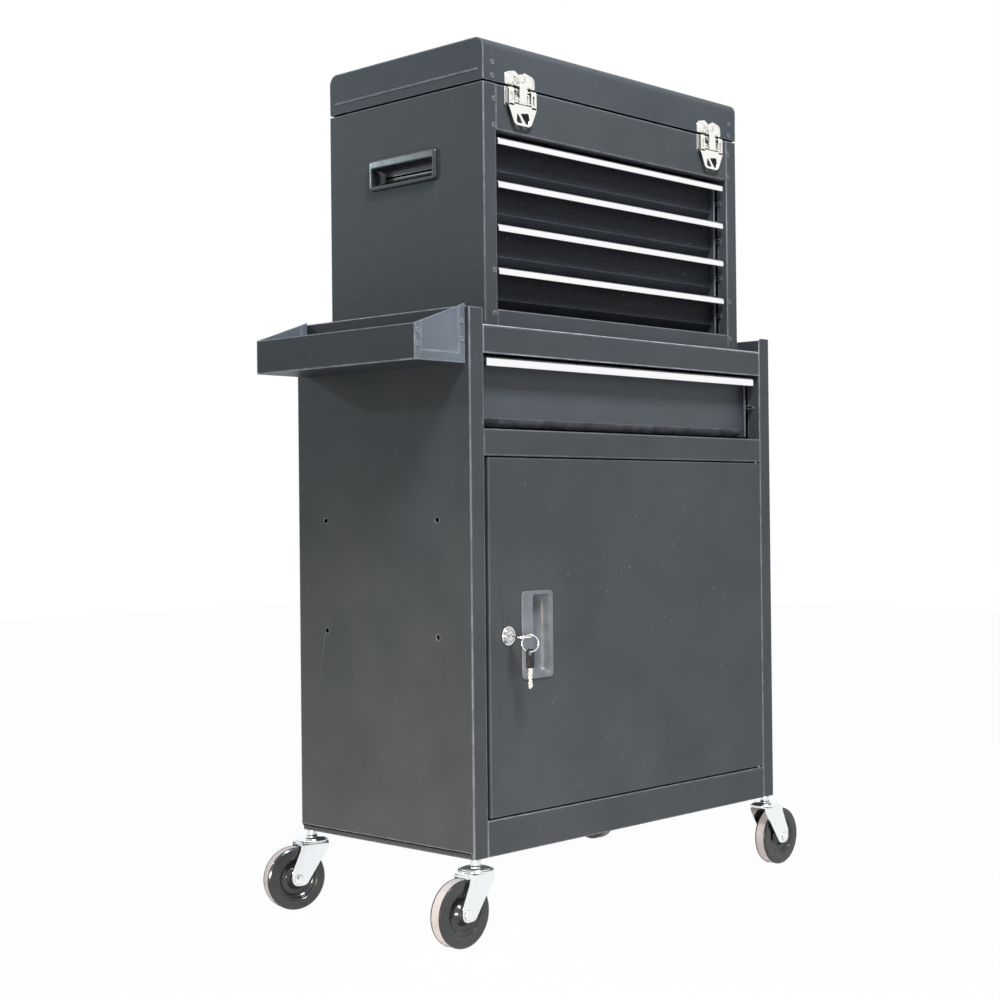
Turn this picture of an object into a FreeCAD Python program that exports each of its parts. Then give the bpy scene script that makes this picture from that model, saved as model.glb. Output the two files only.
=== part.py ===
import FreeCAD, Part
import math
import operator
import os
import Sketcher
from FreeCAD import Rotation, Vector

# Tool chest on a rolling cabinet: a four-drawer top chest with a lift lid, over a
# base with one drawer, one door and a hang-on side tray, on four swivel casters.
# Axes: X to the viewer's right, Y to the back, Z up, floor at zero, millimetres.

os.makedirs("parts", exist_ok=True)
doc = FreeCAD.newDocument("tool_chest")
sheet = doc.addObject("Spreadsheet::Sheet", "Dims")

# Named sizes
TABLE = (
    ("origin_x", 12.5, "cabinet centre from the model origin, across"),
    ("origin_y", -9, "cabinet centre from the model origin, depth"),
    ("metal", 1, "sheet steel thickness"),
    ("bend", 1.5, "outer radius of a folded sheet edge"),
    ("seat_gap", 0.3, "clearance between two assemblies at rest on each other"),
    ("weld_gap", 0.1, "clearance of a part dropped into a cut-out"),
    ("pin_gap", 0.05, "radial running clearance of a pin in its hole"),
    ("base_w", 610, "base cabinet width"),
    ("base_d", 312, "base cabinet depth"),
    ("base_h", 650, "base cabinet side height"),
    ("post_w", 24, "front flange of a base side"),
    ("post_return", 20, "inward return of the front flange"),
    ("rear_flange", 20, "rear flange of a base side"),
    ("post_corner", 5, "rounded top corner of the front flange"),
    ("kick", 7.5, "side panel bottom above the pan bottom"),
    ("deck_down", 19, "deck below the rims of the base sides"),
    ("deck_bend", 2.5, "bend radius along the deck front"),
    ("rail_h", 34, "height of the upper front rail"),
    ("draw_open_h", 90, "height of the base drawer opening"),
    ("mid_rail_h", 32, "height of the middle front rail"),
    ("low_top_z", 43, "top of the lower front rail"),
    ("rail_return", 14, "inward return of the front rails"),
    ("pan_h", 30, "height of the floor pan walls"),
    ("shelf_z", 242, "top of the shelf"),
    ("shelf_y", 40, "front edge of the shelf"),
    ("shelf_lip", 20, "height of the shelf front lip"),
    ("bolt_y", 57, "front mounting hole from the cabinet front"),
    ("bolt_z", 259, "lower mounting hole above the cabinet bottom"),
    ("bolt_span_y", 202, "mounting holes apart, front to back"),
    ("bolt_span_z", 140, "mounting holes apart, up"),
    ("bolt_r", 3.25, "mounting hole radius"),
    ("door_gap_left", 6, "gap between the left post and the door"),
    ("door_gap_right", 2, "gap between the door and the right post"),
    ("door_gap", 2, "gap above and below the door"),
    ("door_t", 16, "depth of the door pan"),
    ("hinge_in", 4.5, "door pivot from the right edge of the door"),
    ("hinge_y", 4.5, "door pivot depth"),
    ("hinge_r", 2.5, "door pivot pin radius"),
    ("hinge_reach", 9, "door pivot pin length into the door"),
    ("hinge_head_r", 3.3, "door pivot pin head radius"),
    ("pull_in", 55, "door pull from the left edge of the door"),
    ("pull_w", 56, "width of the door pull"),
    ("pull_up", 160, "door pull above the bottom edge of the door"),
    ("pull_h", 107, "height of the door pull"),
    ("pull_corner", 6, "corner radius of the door pull"),
    ("pull_proud", 2, "rim of the door pull in front of the door"),
    ("pull_deep", 14, "depth of the door pull cup behind the door face"),
    ("pull_lip", 19, "width of the grip lip of the door pull"),
    ("pull_rim", 7, "width of the other long rim of the door pull"),
    ("pull_end", 5, "width of the end rims of the door pull"),
    ("pull_wall", 2, "wall of the door pull cup"),
    ("lock_in", 31, "lock axis from the left edge of the door"),
    ("lock_up", 214.6, "lock axis above the bottom edge of the door"),
    ("lock_face_r", 11.6, "lock bezel radius"),
    ("lock_proud", 4.5, "lock bezel in front of the door"),
    ("lock_body_r", 9, "lock body radius"),
    ("lock_deep", 21.5, "lock body depth behind the door face"),
    ("plug_r", 6, "lock plug radius"),
    ("cam_len", 46, "lock cam length"),
    ("cam_w", 12, "lock cam width"),
    ("cam_t", 2, "lock cam thickness"),
    ("key_t", 2, "key thickness"),
    ("key_w", 7.6, "key blade width"),
    ("key_bow_r", 11, "key bow radius"),
    ("key_bow_y", 24, "key bow centre in front of the door"),
    ("key_eye_r", 4.5, "key eye radius"),
    ("key_eye_off", 3.5, "key eye centre outward of the bow centre"),
    ("ring_r", 10, "key ring radius to the wire centre"),
    ("ring_wire", 0.8, "key ring wire radius"),
    ("ring_drop", 7.8, "key ring centre below the key"),
    ("chest_in", 48, "top chest side from the cabinet side"),
    ("chest_y", 19.6, "front of the top chest behind the cabinet front"),
    ("chest_back_in", 13.4, "top chest back ahead of the cabinet back"),
    ("chest_h", 296, "joint between chest and lid above the deck"),
    ("chest_post", 22.5, "front flange of a chest side"),
    ("chest_return", 16, "inward return of the chest front flange"),
    ("chest_sill_h", 22.5, "lower rail of the top chest above the deck"),
    ("chest_head_h", 56, "chest drawer opening below the joint"),
    ("lid_h", 54.4, "height of the lid"),
    ("lid_bend", 13, "long edge radius of the lid"),
    ("bead_up", 14.5, "lid end bead above the joint"),
    ("bead_w", 2.4, "width of the lid end bead"),
    ("bead_out", 0.6, "lid end bead in front of the end"),
    ("grip_in", 79.9, "front edge of a side grip behind the chest front"),
    ("grip_l", 119.5, "length of a side grip"),
    ("grip_down", 107, "bottom edge of a side grip below the joint"),
    ("grip_h", 37, "height of a side grip"),
    ("grip_proud", 4, "side grip rim outside the chest side"),
    ("grip_corner", 4, "side grip corner radius"),
    ("grip_top", 9, "upper rim of a side grip"),
    ("grip_low", 3, "lower rim of a side grip"),
    ("grip_end", 3.8, "end rims of a side grip"),
    ("grip_deep", 16, "side grip cup depth inside the chest side"),
    ("grip_wall", 1.2, "side grip cup wall"),
    ("drawer_lip", 13, "height of the sloping lip under a chest drawer face"),
    ("base_lip", 9.8, "height of the sloping lip under the base drawer face"),
    ("lip_back", 8, "lower edge of the sloping lip behind the drawer face"),
    ("drawer_face", 6.5, "drawer face behind the drawer side edges"),
    ("drawer_hem", 3.2, "folded front edge of a drawer side"),
    ("nose_deep", 14, "depth of a drawer handle"),
    ("nose_t", 1.8, "wall of a drawer handle"),
    ("nose_curl", 3, "turned-in lower edge of a drawer handle"),
    ("runner_t", 2, "thickness of a drawer runner"),
    ("runner_gap", 0.6, "runner to slide channel clearance"),
    ("base_draw_side", 9, "base drawer side to the post"),
    ("base_draw_y", 17.7, "front of the base drawer sides"),
    ("base_draw_under", 4.2, "base drawer above the middle rail"),
    ("base_draw_back", 13.3, "base drawer ahead of the back panel"),
    ("base_draw_over", 2.8, "base drawer below the upper rail"),
    ("base_nose_h", 12, "height of the base drawer handle"),
    ("base_nose_r", 5, "front radius of the base drawer handle"),
    ("chest_draw_side", 5.5, "chest drawer side to the chest front flange"),
    ("chest_draw_in", 16.4, "chest drawer sides behind the chest front"),
    ("chest_draw_under", 2.7, "lowest chest drawer above the lower rail"),
    ("chest_draw_back", 9.6, "chest drawer ahead of the chest back"),
    ("chest_draw_over", 6.81, "top chest drawer below the top rail"),
    ("chest_draw_gap", 3.33, "gap between two chest drawers"),
    ("chest_nose_h", 9, "height of a chest drawer handle"),
    ("chest_nose_r", 4, "front radius of a chest drawer handle"),
    ("latch_in", 64, "latch centre from the chest side"),
    ("latch_w", 50, "latch lever width"),
    ("latch_base_w", 55, "latch base plate width"),
    ("keeper_w", 54, "keeper plate width"),
    ("latch_pivot_z", 3, "latch pivot below the joint"),
    ("latch_pivot_out", 3.2, "latch pivot in front of the chest"),
    ("latch_front", 6.2, "front of the latch lever"),
    ("latch_pin_r", 1.2, "latch pin radius"),
    ("claw_drop", 15, "claw pin below the latch pivot"),
    ("claw_out", 1.2, "claw pin in front of the latch pivot"),
    ("claw_w", 13, "width of the claw"),
    ("lid_hinge_in", 110, "lid hinge centre from the chest side"),
    ("lid_hinge_out", 3.4, "lid hinge axis behind the chest back"),
    ("lid_pin_r", 1.5, "lid hinge pin radius"),
    ("lid_knuckle_r", 3, "lid hinge knuckle radius"),
    ("lid_leaf_w", 60, "lid hinge leaf width"),
    ("lid_leaf_h", 22, "lid hinge leaf height"),
    ("tray_out", 82, "outer wall of the side tray from the cabinet side"),
    ("tray_y", 7, "front end of the side tray"),
    ("tray_back_in", 19, "back end of the side tray ahead of the cabinet back"),
    ("tray_down", 66.5, "bottom of the side tray below the rim"),
    ("tray_h", 42, "outer wall height of the side tray"),
    ("tray_end_up", 4, "inner end of the tray ends above the rim"),
    ("tray_gap", 0.4, "side tray to cabinet side clearance"),
    ("tray_hook", 15, "length of the tray hook behind the rim"),
    ("tray_flange", 10, "upright end flange of the tray"),
    ("tray_foot", 12, "lower end flange of the tray"),
    ("caster_x", 10, "caster stem from the cabinet side"),
    ("caster_y", 8, "caster stem from the cabinet front and back"),
    ("stem_r", 4, "caster stem radius"),
    ("stem_head_r", 4.6, "caster stem head radius inside the cabinet"),
    ("neck_r", 6.5, "caster neck radius"),
    ("neck_h", 8, "caster neck height"),
    ("race_r", 21.5, "caster race radius"),
    ("race_h", 5.6, "caster race height"),
    ("trail", 26, "wheel axle behind the stem"),
    ("wheel_gap", 4, "wheel to the fork plate"),
    ("wheel_r", 40, "wheel radius"),
    ("wheel_w", 19, "wheel width over the shoulders"),
    ("hub_w", 24, "wheel hub width"),
    ("tread_w", 13, "width of the pale tread band"),
    ("fork_w", 30, "outside width of the fork"),
    ("fork_t", 2.4, "fork sheet thickness"),
    ("fork_front", 17, "fork plate ahead of the stem"),
    ("fork_back", 22, "fork plate behind the stem"),
    ("fork_end_r", 9, "fork arm end radius"),
    ("axle_r", 4, "wheel axle radius"),
    ("axle_head_r", 6, "axle head radius"),
)


class Size:
    """A length kept as a number and as the matching spreadsheet formula."""

    def __init__(self, number, text):
        self.number = number
        self.text = text

    def joined(self, other, sign, work, swap=False):
        other = as_size(other)
        first, second = (other, self) if swap else (self, other)
        text = "(" + first.text + sign + second.text + ")"
        return Size(work(first.number, second.number), text)

    def __add__(self, other):
        return self.joined(other, "+", operator.add)

    def __radd__(self, other):
        return self.joined(other, "+", operator.add, True)

    def __sub__(self, other):
        return self.joined(other, "-", operator.sub)

    def __rsub__(self, other):
        return self.joined(other, "-", operator.sub, True)

    def __mul__(self, other):
        return self.joined(other, "*", operator.mul)

    def __rmul__(self, other):
        return self.joined(other, "*", operator.mul, True)

    def __truediv__(self, other):
        return self.joined(other, "/", operator.truediv)

    def __neg__(self):
        return self * -1


def as_size(value):
    if isinstance(value, Size):
        return value
    return Size(float(value), "(" + repr(float(value)) + ")")


class Sizes:
    """All named sizes as attributes."""


s = Sizes()
for row, (name, number, meaning) in enumerate(TABLE, 1):
    sheet.set("A%d" % row, name)
    sheet.set("B%d" % row, str(number))
    sheet.set("C%d" % row, meaning)
    sheet.setAlias("B%d" % row, name)
    setattr(s, name, Size(float(number), "Dims." + name))
doc.recompute()

# Sizes that follow from the named ones
s.frame_x = s.origin_x - s.base_w / 2
s.frame_y = s.origin_y - s.base_d / 2
s.axle_z = s.wheel_r
s.frame_z = s.axle_z + s.wheel_r + s.wheel_gap + s.fork_t + s.race_h + s.neck_h
s.deck_z = s.base_h - s.deck_down
s.rail_top_z = s.deck_z - s.rail_h
s.mid_top_z = s.rail_top_z - s.draw_open_h
s.mid_low_z = s.mid_top_z - s.mid_rail_h
s.door_left = s.post_w + s.door_gap_left
s.door_right = s.base_w - s.post_w - s.door_gap_right
s.door_low = s.low_top_z + s.door_gap
s.door_high = s.mid_low_z - s.door_gap
s.hinge_x = s.door_right - s.hinge_in
s.pull_left = s.door_left + s.pull_in
s.pull_low = s.door_low + s.pull_up
s.lock_x = s.door_left + s.lock_in
s.lock_z = s.door_low + s.lock_up
s.chest_x = s.chest_in
s.chest_w = s.base_w - 2 * s.chest_in
s.chest_d = s.base_d - s.chest_y - s.chest_back_in
s.chest_top_z = s.deck_z + s.chest_h
s.chest_low_z = s.deck_z + s.chest_sill_h
s.chest_high_z = s.chest_top_z - s.chest_head_h
s.grip_y = s.chest_y + s.grip_in
s.grip_z = s.chest_top_z - s.grip_down
s.base_draw_x = s.post_w + s.base_draw_side
s.base_draw_z = s.mid_top_z + s.base_draw_under
s.base_draw_w = s.base_w - 2 * s.base_draw_x
s.base_draw_d = s.base_d - s.metal - s.base_draw_back - s.base_draw_y
s.base_draw_h = s.rail_top_z - s.base_draw_over - s.base_draw_z
s.chest_draw_x = s.chest_x + s.chest_post + s.chest_draw_side
s.chest_draw_y = s.chest_y + s.chest_draw_in
s.chest_draw_z = s.chest_low_z + s.chest_draw_under
s.chest_draw_w = s.chest_w - 2 * (s.chest_draw_x - s.chest_x)
s.chest_draw_d = s.chest_y + s.chest_d - s.metal - s.chest_draw_back - s.chest_draw_y
draw_stack = s.chest_high_z - s.chest_draw_over - s.chest_draw_z
s.chest_pitch = (draw_stack + s.chest_draw_gap) / 4
s.chest_draw_h = s.chest_pitch - s.chest_draw_gap
s.tray_l = s.base_d - s.tray_y - s.tray_back_in
s.tray_z = s.base_h - s.tray_down
s.tray_end_h = s.tray_down + s.tray_end_up

# Drawing helpers
ROLE = {"XY": ("XY_Plane", 1), "XZ": ("XZ_Plane", -1), "YZ": ("YZ_Plane", 1)}


def bind(thing, path, value):
    thing.setExpression(path, as_size(value).text)


def place(thing, at, axis=(0, 0, 1), angle=0):
    thing.Placement = FreeCAD.Placement(Vector(), Rotation(Vector(*axis), angle))
    for letter, value in zip("xyz", at):
        bind(thing, "Placement.Base." + letter, value)


def new_body(label, at=(0, 0, 0), axis=(0, 0, 1), angle=0):
    body = doc.addObject("PartDesign::Body", label)
    body.Label = label
    place(body, at, axis, angle)
    return body


def corner_path(points):
    """Straight and rounded pieces of a closed outline, as plain numbers."""
    spots = [Vector(as_size(p[0]).number, as_size(p[1]).number, 0) for p in points]
    path = []
    for index, here in enumerate(spots):
        radius = as_size(points[index][2]).number if len(points[index]) > 2 else 0
        if not radius:
            path.append((here, here, None))
            continue
        back = (spots[index - 1] - here).normalize()
        ahead = (spots[(index + 1) % len(spots)] - here).normalize()
        half = back.getAngle(ahead) / 2
        centre = here + (back + ahead).normalize() * (radius / math.sin(half))
        reach = radius / math.tan(half)
        turns_left = back.cross(ahead).z < 0
        path.append((here + back * reach, here + ahead * reach, (centre, radius, turns_left)))
    return path


def heading(centre, spot):
    return math.atan2(spot.y - centre.y, spot.x - centre.x)


def draw_outline(sketch, points):
    """A closed outline; a third value in a corner rounds it."""
    path = corner_path(points)
    count = len(points)
    lines = []
    for index in range(count):
        start = path[index][1]
        end = path[(index + 1) % count][0]
        lines.append(sketch.addGeometry(Part.LineSegment(start, end)))
    for index, (arrive, leave, bow) in enumerate(path):
        before = lines[index - 1]
        after = lines[index]
        if bow:
            centre, radius, turns_left = bow
            first, last = (arrive, leave) if turns_left else (leave, arrive)
            circle = Part.Circle(centre, Vector(0, 0, 1), radius)
            sweep = (heading(centre, first), heading(centre, last))
            arc = sketch.addGeometry(Part.ArcOfCircle(circle, *sweep))
            ends = (1, 2) if turns_left else (2, 1)
            sketch.addConstraint(Sketcher.Constraint("Tangent", before, 2, arc, ends[0]))
            sketch.addConstraint(Sketcher.Constraint("Tangent", arc, ends[1], after, 1))
            limit = sketch.addConstraint(Sketcher.Constraint("Radius", arc, radius))
            bind(sketch, "Constraints[%d]" % limit, points[index][2])
            spot = Vector(as_size(points[index][0]).number, as_size(points[index][1]).number, 0)
            mark = sketch.addGeometry(Part.Point(spot), True)
            sketch.addConstraint(Sketcher.Constraint("PointOnObject", mark, 1, before))
            sketch.addConstraint(Sketcher.Constraint("PointOnObject", mark, 1, after))
            pin_point(sketch, mark, 1, points[index])
        else:
            sketch.addConstraint(Sketcher.Constraint("Coincident", before, 2, after, 1))
            pin_point(sketch, after, 1, points[index])


def pin_point(sketch, shape, end, spot):
    for kind, value in (("DistanceX", spot[0]), ("DistanceY", spot[1])):
        number = as_size(value).number
        limit = sketch.addConstraint(Sketcher.Constraint(kind, -1, 1, shape, end, number))
        bind(sketch, "Constraints[%d]" % limit, value)


def draw_circle(sketch, circle):
    across, up, radius = (as_size(value) for value in circle)
    shape = Part.Circle(Vector(across.number, up.number, 0), Vector(0, 0, 1), radius.number)
    index = sketch.addGeometry(shape)
    pin_point(sketch, index, 3, circle)
    limit = sketch.addConstraint(Sketcher.Constraint("Radius", index, radius.number))
    bind(sketch, "Constraints[%d]" % limit, radius)


def new_sketch(body, plane, start, outlines):
    role, sense = ROLE[plane]
    sketch = body.newObject("Sketcher::SketchObject", "Outline")
    base = [item for item in body.Origin.OriginFeatures if item.Role == role][0]
    sketch.AttachmentSupport = [(base, "")]
    sketch.MapMode = "FlatFace"
    bind(sketch, "AttachmentOffset.Base.z", start * sense)
    for outline in outlines:
        if isinstance(outline, list):
            draw_outline(sketch, outline)
        else:
            draw_circle(sketch, outline)
    return sketch


def volume_of(body):
    return 0 if body.Shape.isNull() else body.Shape.Volume


def settle(body, feature, before):
    doc.recompute()
    if "Invalid" in feature.State or abs(volume_of(body) - before) < 1e-3:
        raise RuntimeError("no change made by " + feature.Name + " in " + body.Label)


def shape(body, kind, plane, start, length, *outlines):
    """A Pad or Pocket from start, running length in the positive direction."""
    before = volume_of(body)
    sketch = new_sketch(body, plane, as_size(start), outlines)
    feature = body.newObject("PartDesign::" + kind, kind)
    feature.Profile = sketch
    bind(feature, "Length", length)
    feature.Reversed = (plane == "XZ") == (kind == "Pad")
    settle(body, feature, before)


def block(body, kind, low, high):
    """A box between two opposite corners."""
    outline = [(low[0], low[1]), (high[0], low[1]), (high[0], high[1]), (low[0], high[1])]
    shape(body, kind, "XY", low[2], as_size(high[2]) - low[2], outline)


def turn(body, profile, kind="Revolution"):
    """A profile of (radius, height) turned about the body's own Z axis."""
    before = volume_of(body)
    sketch = new_sketch(body, "XZ", as_size(0), [profile])
    feature = body.newObject("PartDesign::" + kind, kind)
    feature.Profile = sketch
    feature.ReferenceAxis = (sketch, ["V_Axis"])
    feature.Angle = 360
    settle(body, feature, before)


def round_edges(body, radius, chosen):
    """Round the edges whose bounding box passes the given test."""
    tip = body.Tip
    names = []
    for index, edge in enumerate(tip.Shape.Edges, 1):
        if chosen(edge.BoundBox):
            names.append("Edge%d" % index)
    before = volume_of(body)
    feature = body.newObject("PartDesign::Fillet", "Fillet")
    feature.Base = (tip, names)
    bind(feature, "Radius", radius)
    settle(body, feature, before)


def near(first, second):
    return abs(first - as_size(second).number) < 1e-4


def group(label, members, at=(0, 0, 0)):
    bundle = doc.addObject("Part::Compound", label)
    bundle.Label = label
    bundle.Links = members
    place(bundle, at)
    return bundle


FRAME = (s.frame_x, s.frame_y, s.frame_z)
kept = []


def shifted(across, depth, up):
    return (s.frame_x + across, s.frame_y + depth, s.frame_z + up)


# Base sides: one folded sheet each, with a front post flange and a rear flange
def same(across):
    return as_size(across)


def mirrored(across):
    return s.base_w - across


def base_side(label, across):
    body = new_body(label, FRAME)
    inner = s.post_w - s.metal
    section = [(0, 0, s.bend), (s.post_w, 0, s.bend), (s.post_w, s.post_return)]
    section += [(inner, s.post_return), (inner, s.metal), (s.metal, s.metal)]
    section += [(s.metal, s.base_d - s.metal), (s.rear_flange, s.base_d - s.metal)]
    section += [(s.rear_flange, s.base_d), (0, s.base_d)]
    outline = [(across(as_size(p[0])), p[1], *p[2:]) for p in section]
    shape(body, "Pad", "XY", 0, s.base_h, outline)
    start = across(as_size(-1)) if across is same else across(s.rear_flange + 5)
    foot = [(3, -1), (3, s.kick, 4), (s.base_d + 1, s.kick), (s.base_d + 1, -1)]
    shape(body, "Pocket", "YZ", start, s.rear_flange + 6, foot)
    edge = s.post_corner
    corner = [(s.post_w + 1, s.base_h - edge - 1), (s.post_w + 1, s.base_h + 1)]
    corner += [(s.post_w - edge - 1, s.base_h + 1), (s.post_w - edge - 1, s.base_h)]
    corner += [(s.post_w, s.base_h, edge), (s.post_w, s.base_h - edge - 1)]
    shape(body, "Pocket", "XZ", -1, 3, [(across(as_size(p[0])), p[1], *p[2:]) for p in corner])
    notch = [(inner - 1, s.deck_z - s.metal), (s.post_w + 1, s.deck_z - s.metal)]
    notch += [(s.post_w + 1, s.base_h + 1), (inner - 1, s.base_h + 1)]
    outline = [(across(as_size(p[0])), p[1]) for p in notch]
    shape(body, "Pocket", "XZ", s.metal, s.post_return, outline)
    low_end = [(inner - 1, -1), (s.post_w + 1, -1), (s.post_w + 1, s.pan_h), (inner - 1, s.pan_h)]
    outline = [(across(as_size(p[0])), p[1]) for p in low_end]
    shape(body, "Pocket", "XZ", s.metal, s.post_return, outline)
    holes = []
    for depth in (s.bolt_y, s.bolt_y + s.bolt_span_y):
        for up in (s.bolt_z, s.bolt_z + s.bolt_span_z):
            holes.append((depth, up, s.bolt_r))
    wall = -1 if across is same else s.base_w - 2
    shape(body, "Pocket", "YZ", wall, 3, *holes)
    kept.append(body)


base_side("base_left_side", same)
base_side("base_right_side", mirrored)

# Back panel, behind the deck and floor, on the rear flanges
back = new_body("base_back", FRAME)
back_y = s.base_d - 2 * s.metal
block(back, "Pad", (s.metal, back_y, s.kick), (s.base_w - s.metal, back_y + s.metal, s.base_h))
kept.append(back)

# Floor pan with upturned walls and four stem holes
floor = new_body("base_floor", FRAME)
block(floor, "Pad", (s.metal, s.metal, 0), (s.base_w - s.metal, back_y, s.pan_h))
pan_low = (2 * s.metal, 2 * s.metal, s.metal)
pan_high = (s.base_w - 2 * s.metal, back_y - s.metal, s.pan_h + 1)
block(floor, "Pocket", pan_low, pan_high)
STEMS = []
for depth in (s.caster_y, s.base_d - s.caster_y):
    for across in (s.caster_x, s.base_w - s.caster_x):
        STEMS.append((across, depth))
holes = [(across, depth, s.stem_r + s.weld_gap) for across, depth in STEMS]
shape(floor, "Pocket", "XY", -1, 3, *holes)
kept.append(floor)

# Deck: folded over the front to make the upper rail
deck = new_body("base_deck", FRAME)
low = s.rail_top_z
under = s.deck_z - s.metal
section = [(0, low), (0, s.deck_z, s.deck_bend), (back_y, s.deck_z), (back_y, under)]
section += [(s.metal, under, s.deck_bend - s.metal), (s.metal, low + s.metal)]
section += [(s.rail_return, low + s.metal), (s.rail_return, low)]
inside_w = s.base_w - 2 * s.post_w
shape(deck, "Pad", "YZ", s.post_w, inside_w, section)
block(deck, "Pad", (s.metal, s.metal, under), (s.post_w, back_y, s.deck_z))
right_low = (s.base_w - s.post_w, s.metal, under)
block(deck, "Pad", right_low, (s.base_w - s.metal, back_y, s.deck_z))
kept.append(deck)


# Middle and lower front rails between the posts
def front_rail(label, section):
    rail = new_body(label, FRAME)
    shape(rail, "Pad", "YZ", s.post_w, inside_w, section)
    hole = (s.hinge_x, s.hinge_y, s.hinge_r + s.pin_gap)
    return rail, hole


section = [(0, s.mid_low_z, s.bend), (0, s.mid_top_z, s.bend), (s.rail_return, s.mid_top_z)]
section += [(s.rail_return, s.mid_top_z - s.metal), (s.metal, s.mid_top_z - s.metal)]
section += [(s.metal, s.mid_low_z + s.metal), (s.rail_return, s.mid_low_z + s.metal)]
section += [(s.rail_return, s.mid_low_z)]
rail, hole = front_rail("base_mid_rail", section)
shape(rail, "Pocket", "XY", s.mid_low_z - 1, 3, hole)
kept.append(rail)

section = [(0, 0), (0, s.low_top_z, s.bend), (s.rail_return, s.low_top_z)]
section += [(s.rail_return, s.low_top_z - s.metal), (s.metal, s.low_top_z - s.metal)]
section += [(s.metal, 0)]
rail, hole = front_rail("base_bottom_rail", section)
shape(rail, "Pocket", "XY", s.low_top_z - 2, 3, hole)
kept.append(rail)

# Shelf behind the door
shelf = new_body("base_shelf", FRAME)
section = [(s.shelf_y, s.shelf_z - s.shelf_lip), (s.shelf_y, s.shelf_z, s.bend)]
section += [(back_y, s.shelf_z), (back_y, s.shelf_z - s.metal)]
section += [(s.shelf_y + s.metal, s.shelf_z - s.metal)]
section += [(s.shelf_y + s.metal, s.shelf_z - s.shelf_lip)]
shape(shelf, "Pad", "YZ", s.metal, s.base_w - 2 * s.metal, section)
kept.append(shelf)


# Slide channels: a folded channel each side, open towards the drawer
def channel(label, wall, mouth, middle, start, end):
    """wall is the fixed face across, mouth the open edge nearest the drawer."""
    rail = new_body(label)
    sense = 1 if as_size(mouth - wall).number > 0 else -1
    half = s.runner_t / 2 + s.runner_gap + s.metal
    web = wall + s.metal * sense
    low = middle - half
    high = middle + half
    section = [(wall, low), (mouth, low), (mouth, low + s.metal), (web, low + s.metal)]
    section += [(web, high - s.metal), (mouth, high - s.metal), (mouth, high), (wall, high)]
    shape(rail, "Pad", "XZ", start, end - start, section)
    return rail


def channel_pair(name, left, right, reach, middle, start, end):
    first = channel(name + "_left", left, left + reach, middle, start, end)
    second = channel(name + "_right", right, right - reach, middle, start, end)
    return [first, second]


base_runner = s.base_draw_h / 2
base_side_gap = s.base_draw_x - s.post_w
middle = s.base_draw_z + base_runner
right_wall = s.base_w - s.post_w
reach = base_side_gap - s.runner_gap
pair = channel_pair("base_channel", s.post_w, right_wall, reach, middle, 10, back_y)
kept.append(group("base_slide_channels", pair, FRAME))


# Drawers: box, face and handle, each drawn from the drawer's front lower left corner
def drawer(name, at, width, length, height, side_gap, lip, nose_h, nose_r):
    metal = s.metal
    hem = s.drawer_hem
    lip_y = s.drawer_face + s.lip_back
    top = height - s.nose_t - metal
    box = new_body(name + "_box", at)
    walls = [(0, 0), (hem, 0), (hem, metal), (metal, metal), (metal, length - metal)]
    walls += [(width - metal, length - metal), (width - metal, metal), (width - hem, metal)]
    walls += [(width - hem, 0), (width, 0), (width, length), (0, length)]
    shape(box, "Pad", "XY", 0, top, walls)
    block(box, "Pad", (0, lip_y + 2, 0), (width, length, metal))
    runner = height / 2
    half = s.runner_t / 2
    for low, high in ((-(side_gap - 2 * s.runner_gap), 0), (width, width + side_gap - 2 * s.runner_gap)):
        block(box, "Pad", (low, 24, runner - half), (high, length, runner + half))
    kept.append(box)

    face = new_body(name + "_front", at)
    deep = s.drawer_face
    section = [(lip_y, 0), (deep, lip), (deep, top), (-4, top), (-4, top + metal)]
    section += [(deep + metal, top + metal), (deep + metal, lip + 0.3), (lip_y + 1.2, 0)]
    shape(face, "Pad", "YZ", metal, width - 2 * metal, section)
    kept.append(face)

    handle = new_body(name + "_handle", at)
    nose = -s.nose_deep
    wall = s.nose_t
    foot = height - nose_h
    section = [(0, height), (nose, height, nose_r), (nose, foot, 0.8)]
    section += [(nose + s.nose_curl, foot, 0.4), (nose + s.nose_curl, foot + 1.2)]
    section += [(nose + wall, foot + 1.2), (nose + wall, height - wall, nose_r - wall)]
    section += [(0, height - wall)]
    shape(handle, "Pad", "YZ", 0, width, section)
    kept.append(handle)


at = shifted(s.base_draw_x, s.base_draw_y, s.base_draw_z)
size = (s.base_draw_w, s.base_draw_d, s.base_draw_h)
drawer("base_drawer", at, *size, base_side_gap, s.base_lip, s.base_nose_h, s.base_nose_r)

chest_gap = s.chest_draw_x - s.chest_x - s.chest_post
size = (s.chest_draw_w, s.chest_draw_d, s.chest_draw_h)
chest_levels = [s.chest_draw_z + s.chest_pitch * step for step in (3, 2, 1, 0)]
for number, level in enumerate(chest_levels, 1):
    at = shifted(s.chest_draw_x, s.chest_draw_y, level)
    drawer("chest_drawer_%d" % number, at, *size, chest_gap, s.drawer_lip, s.chest_nose_h, s.chest_nose_r)

# Chest sides
chest_low = s.deck_z + s.seat_gap
chest_high = s.chest_top_z - s.seat_gap
chest_right = s.chest_x + s.chest_w
chest_back_y = s.chest_y + s.chest_d


def chest_mirror(across):
    return 2 * s.chest_x + s.chest_w - across


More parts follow.
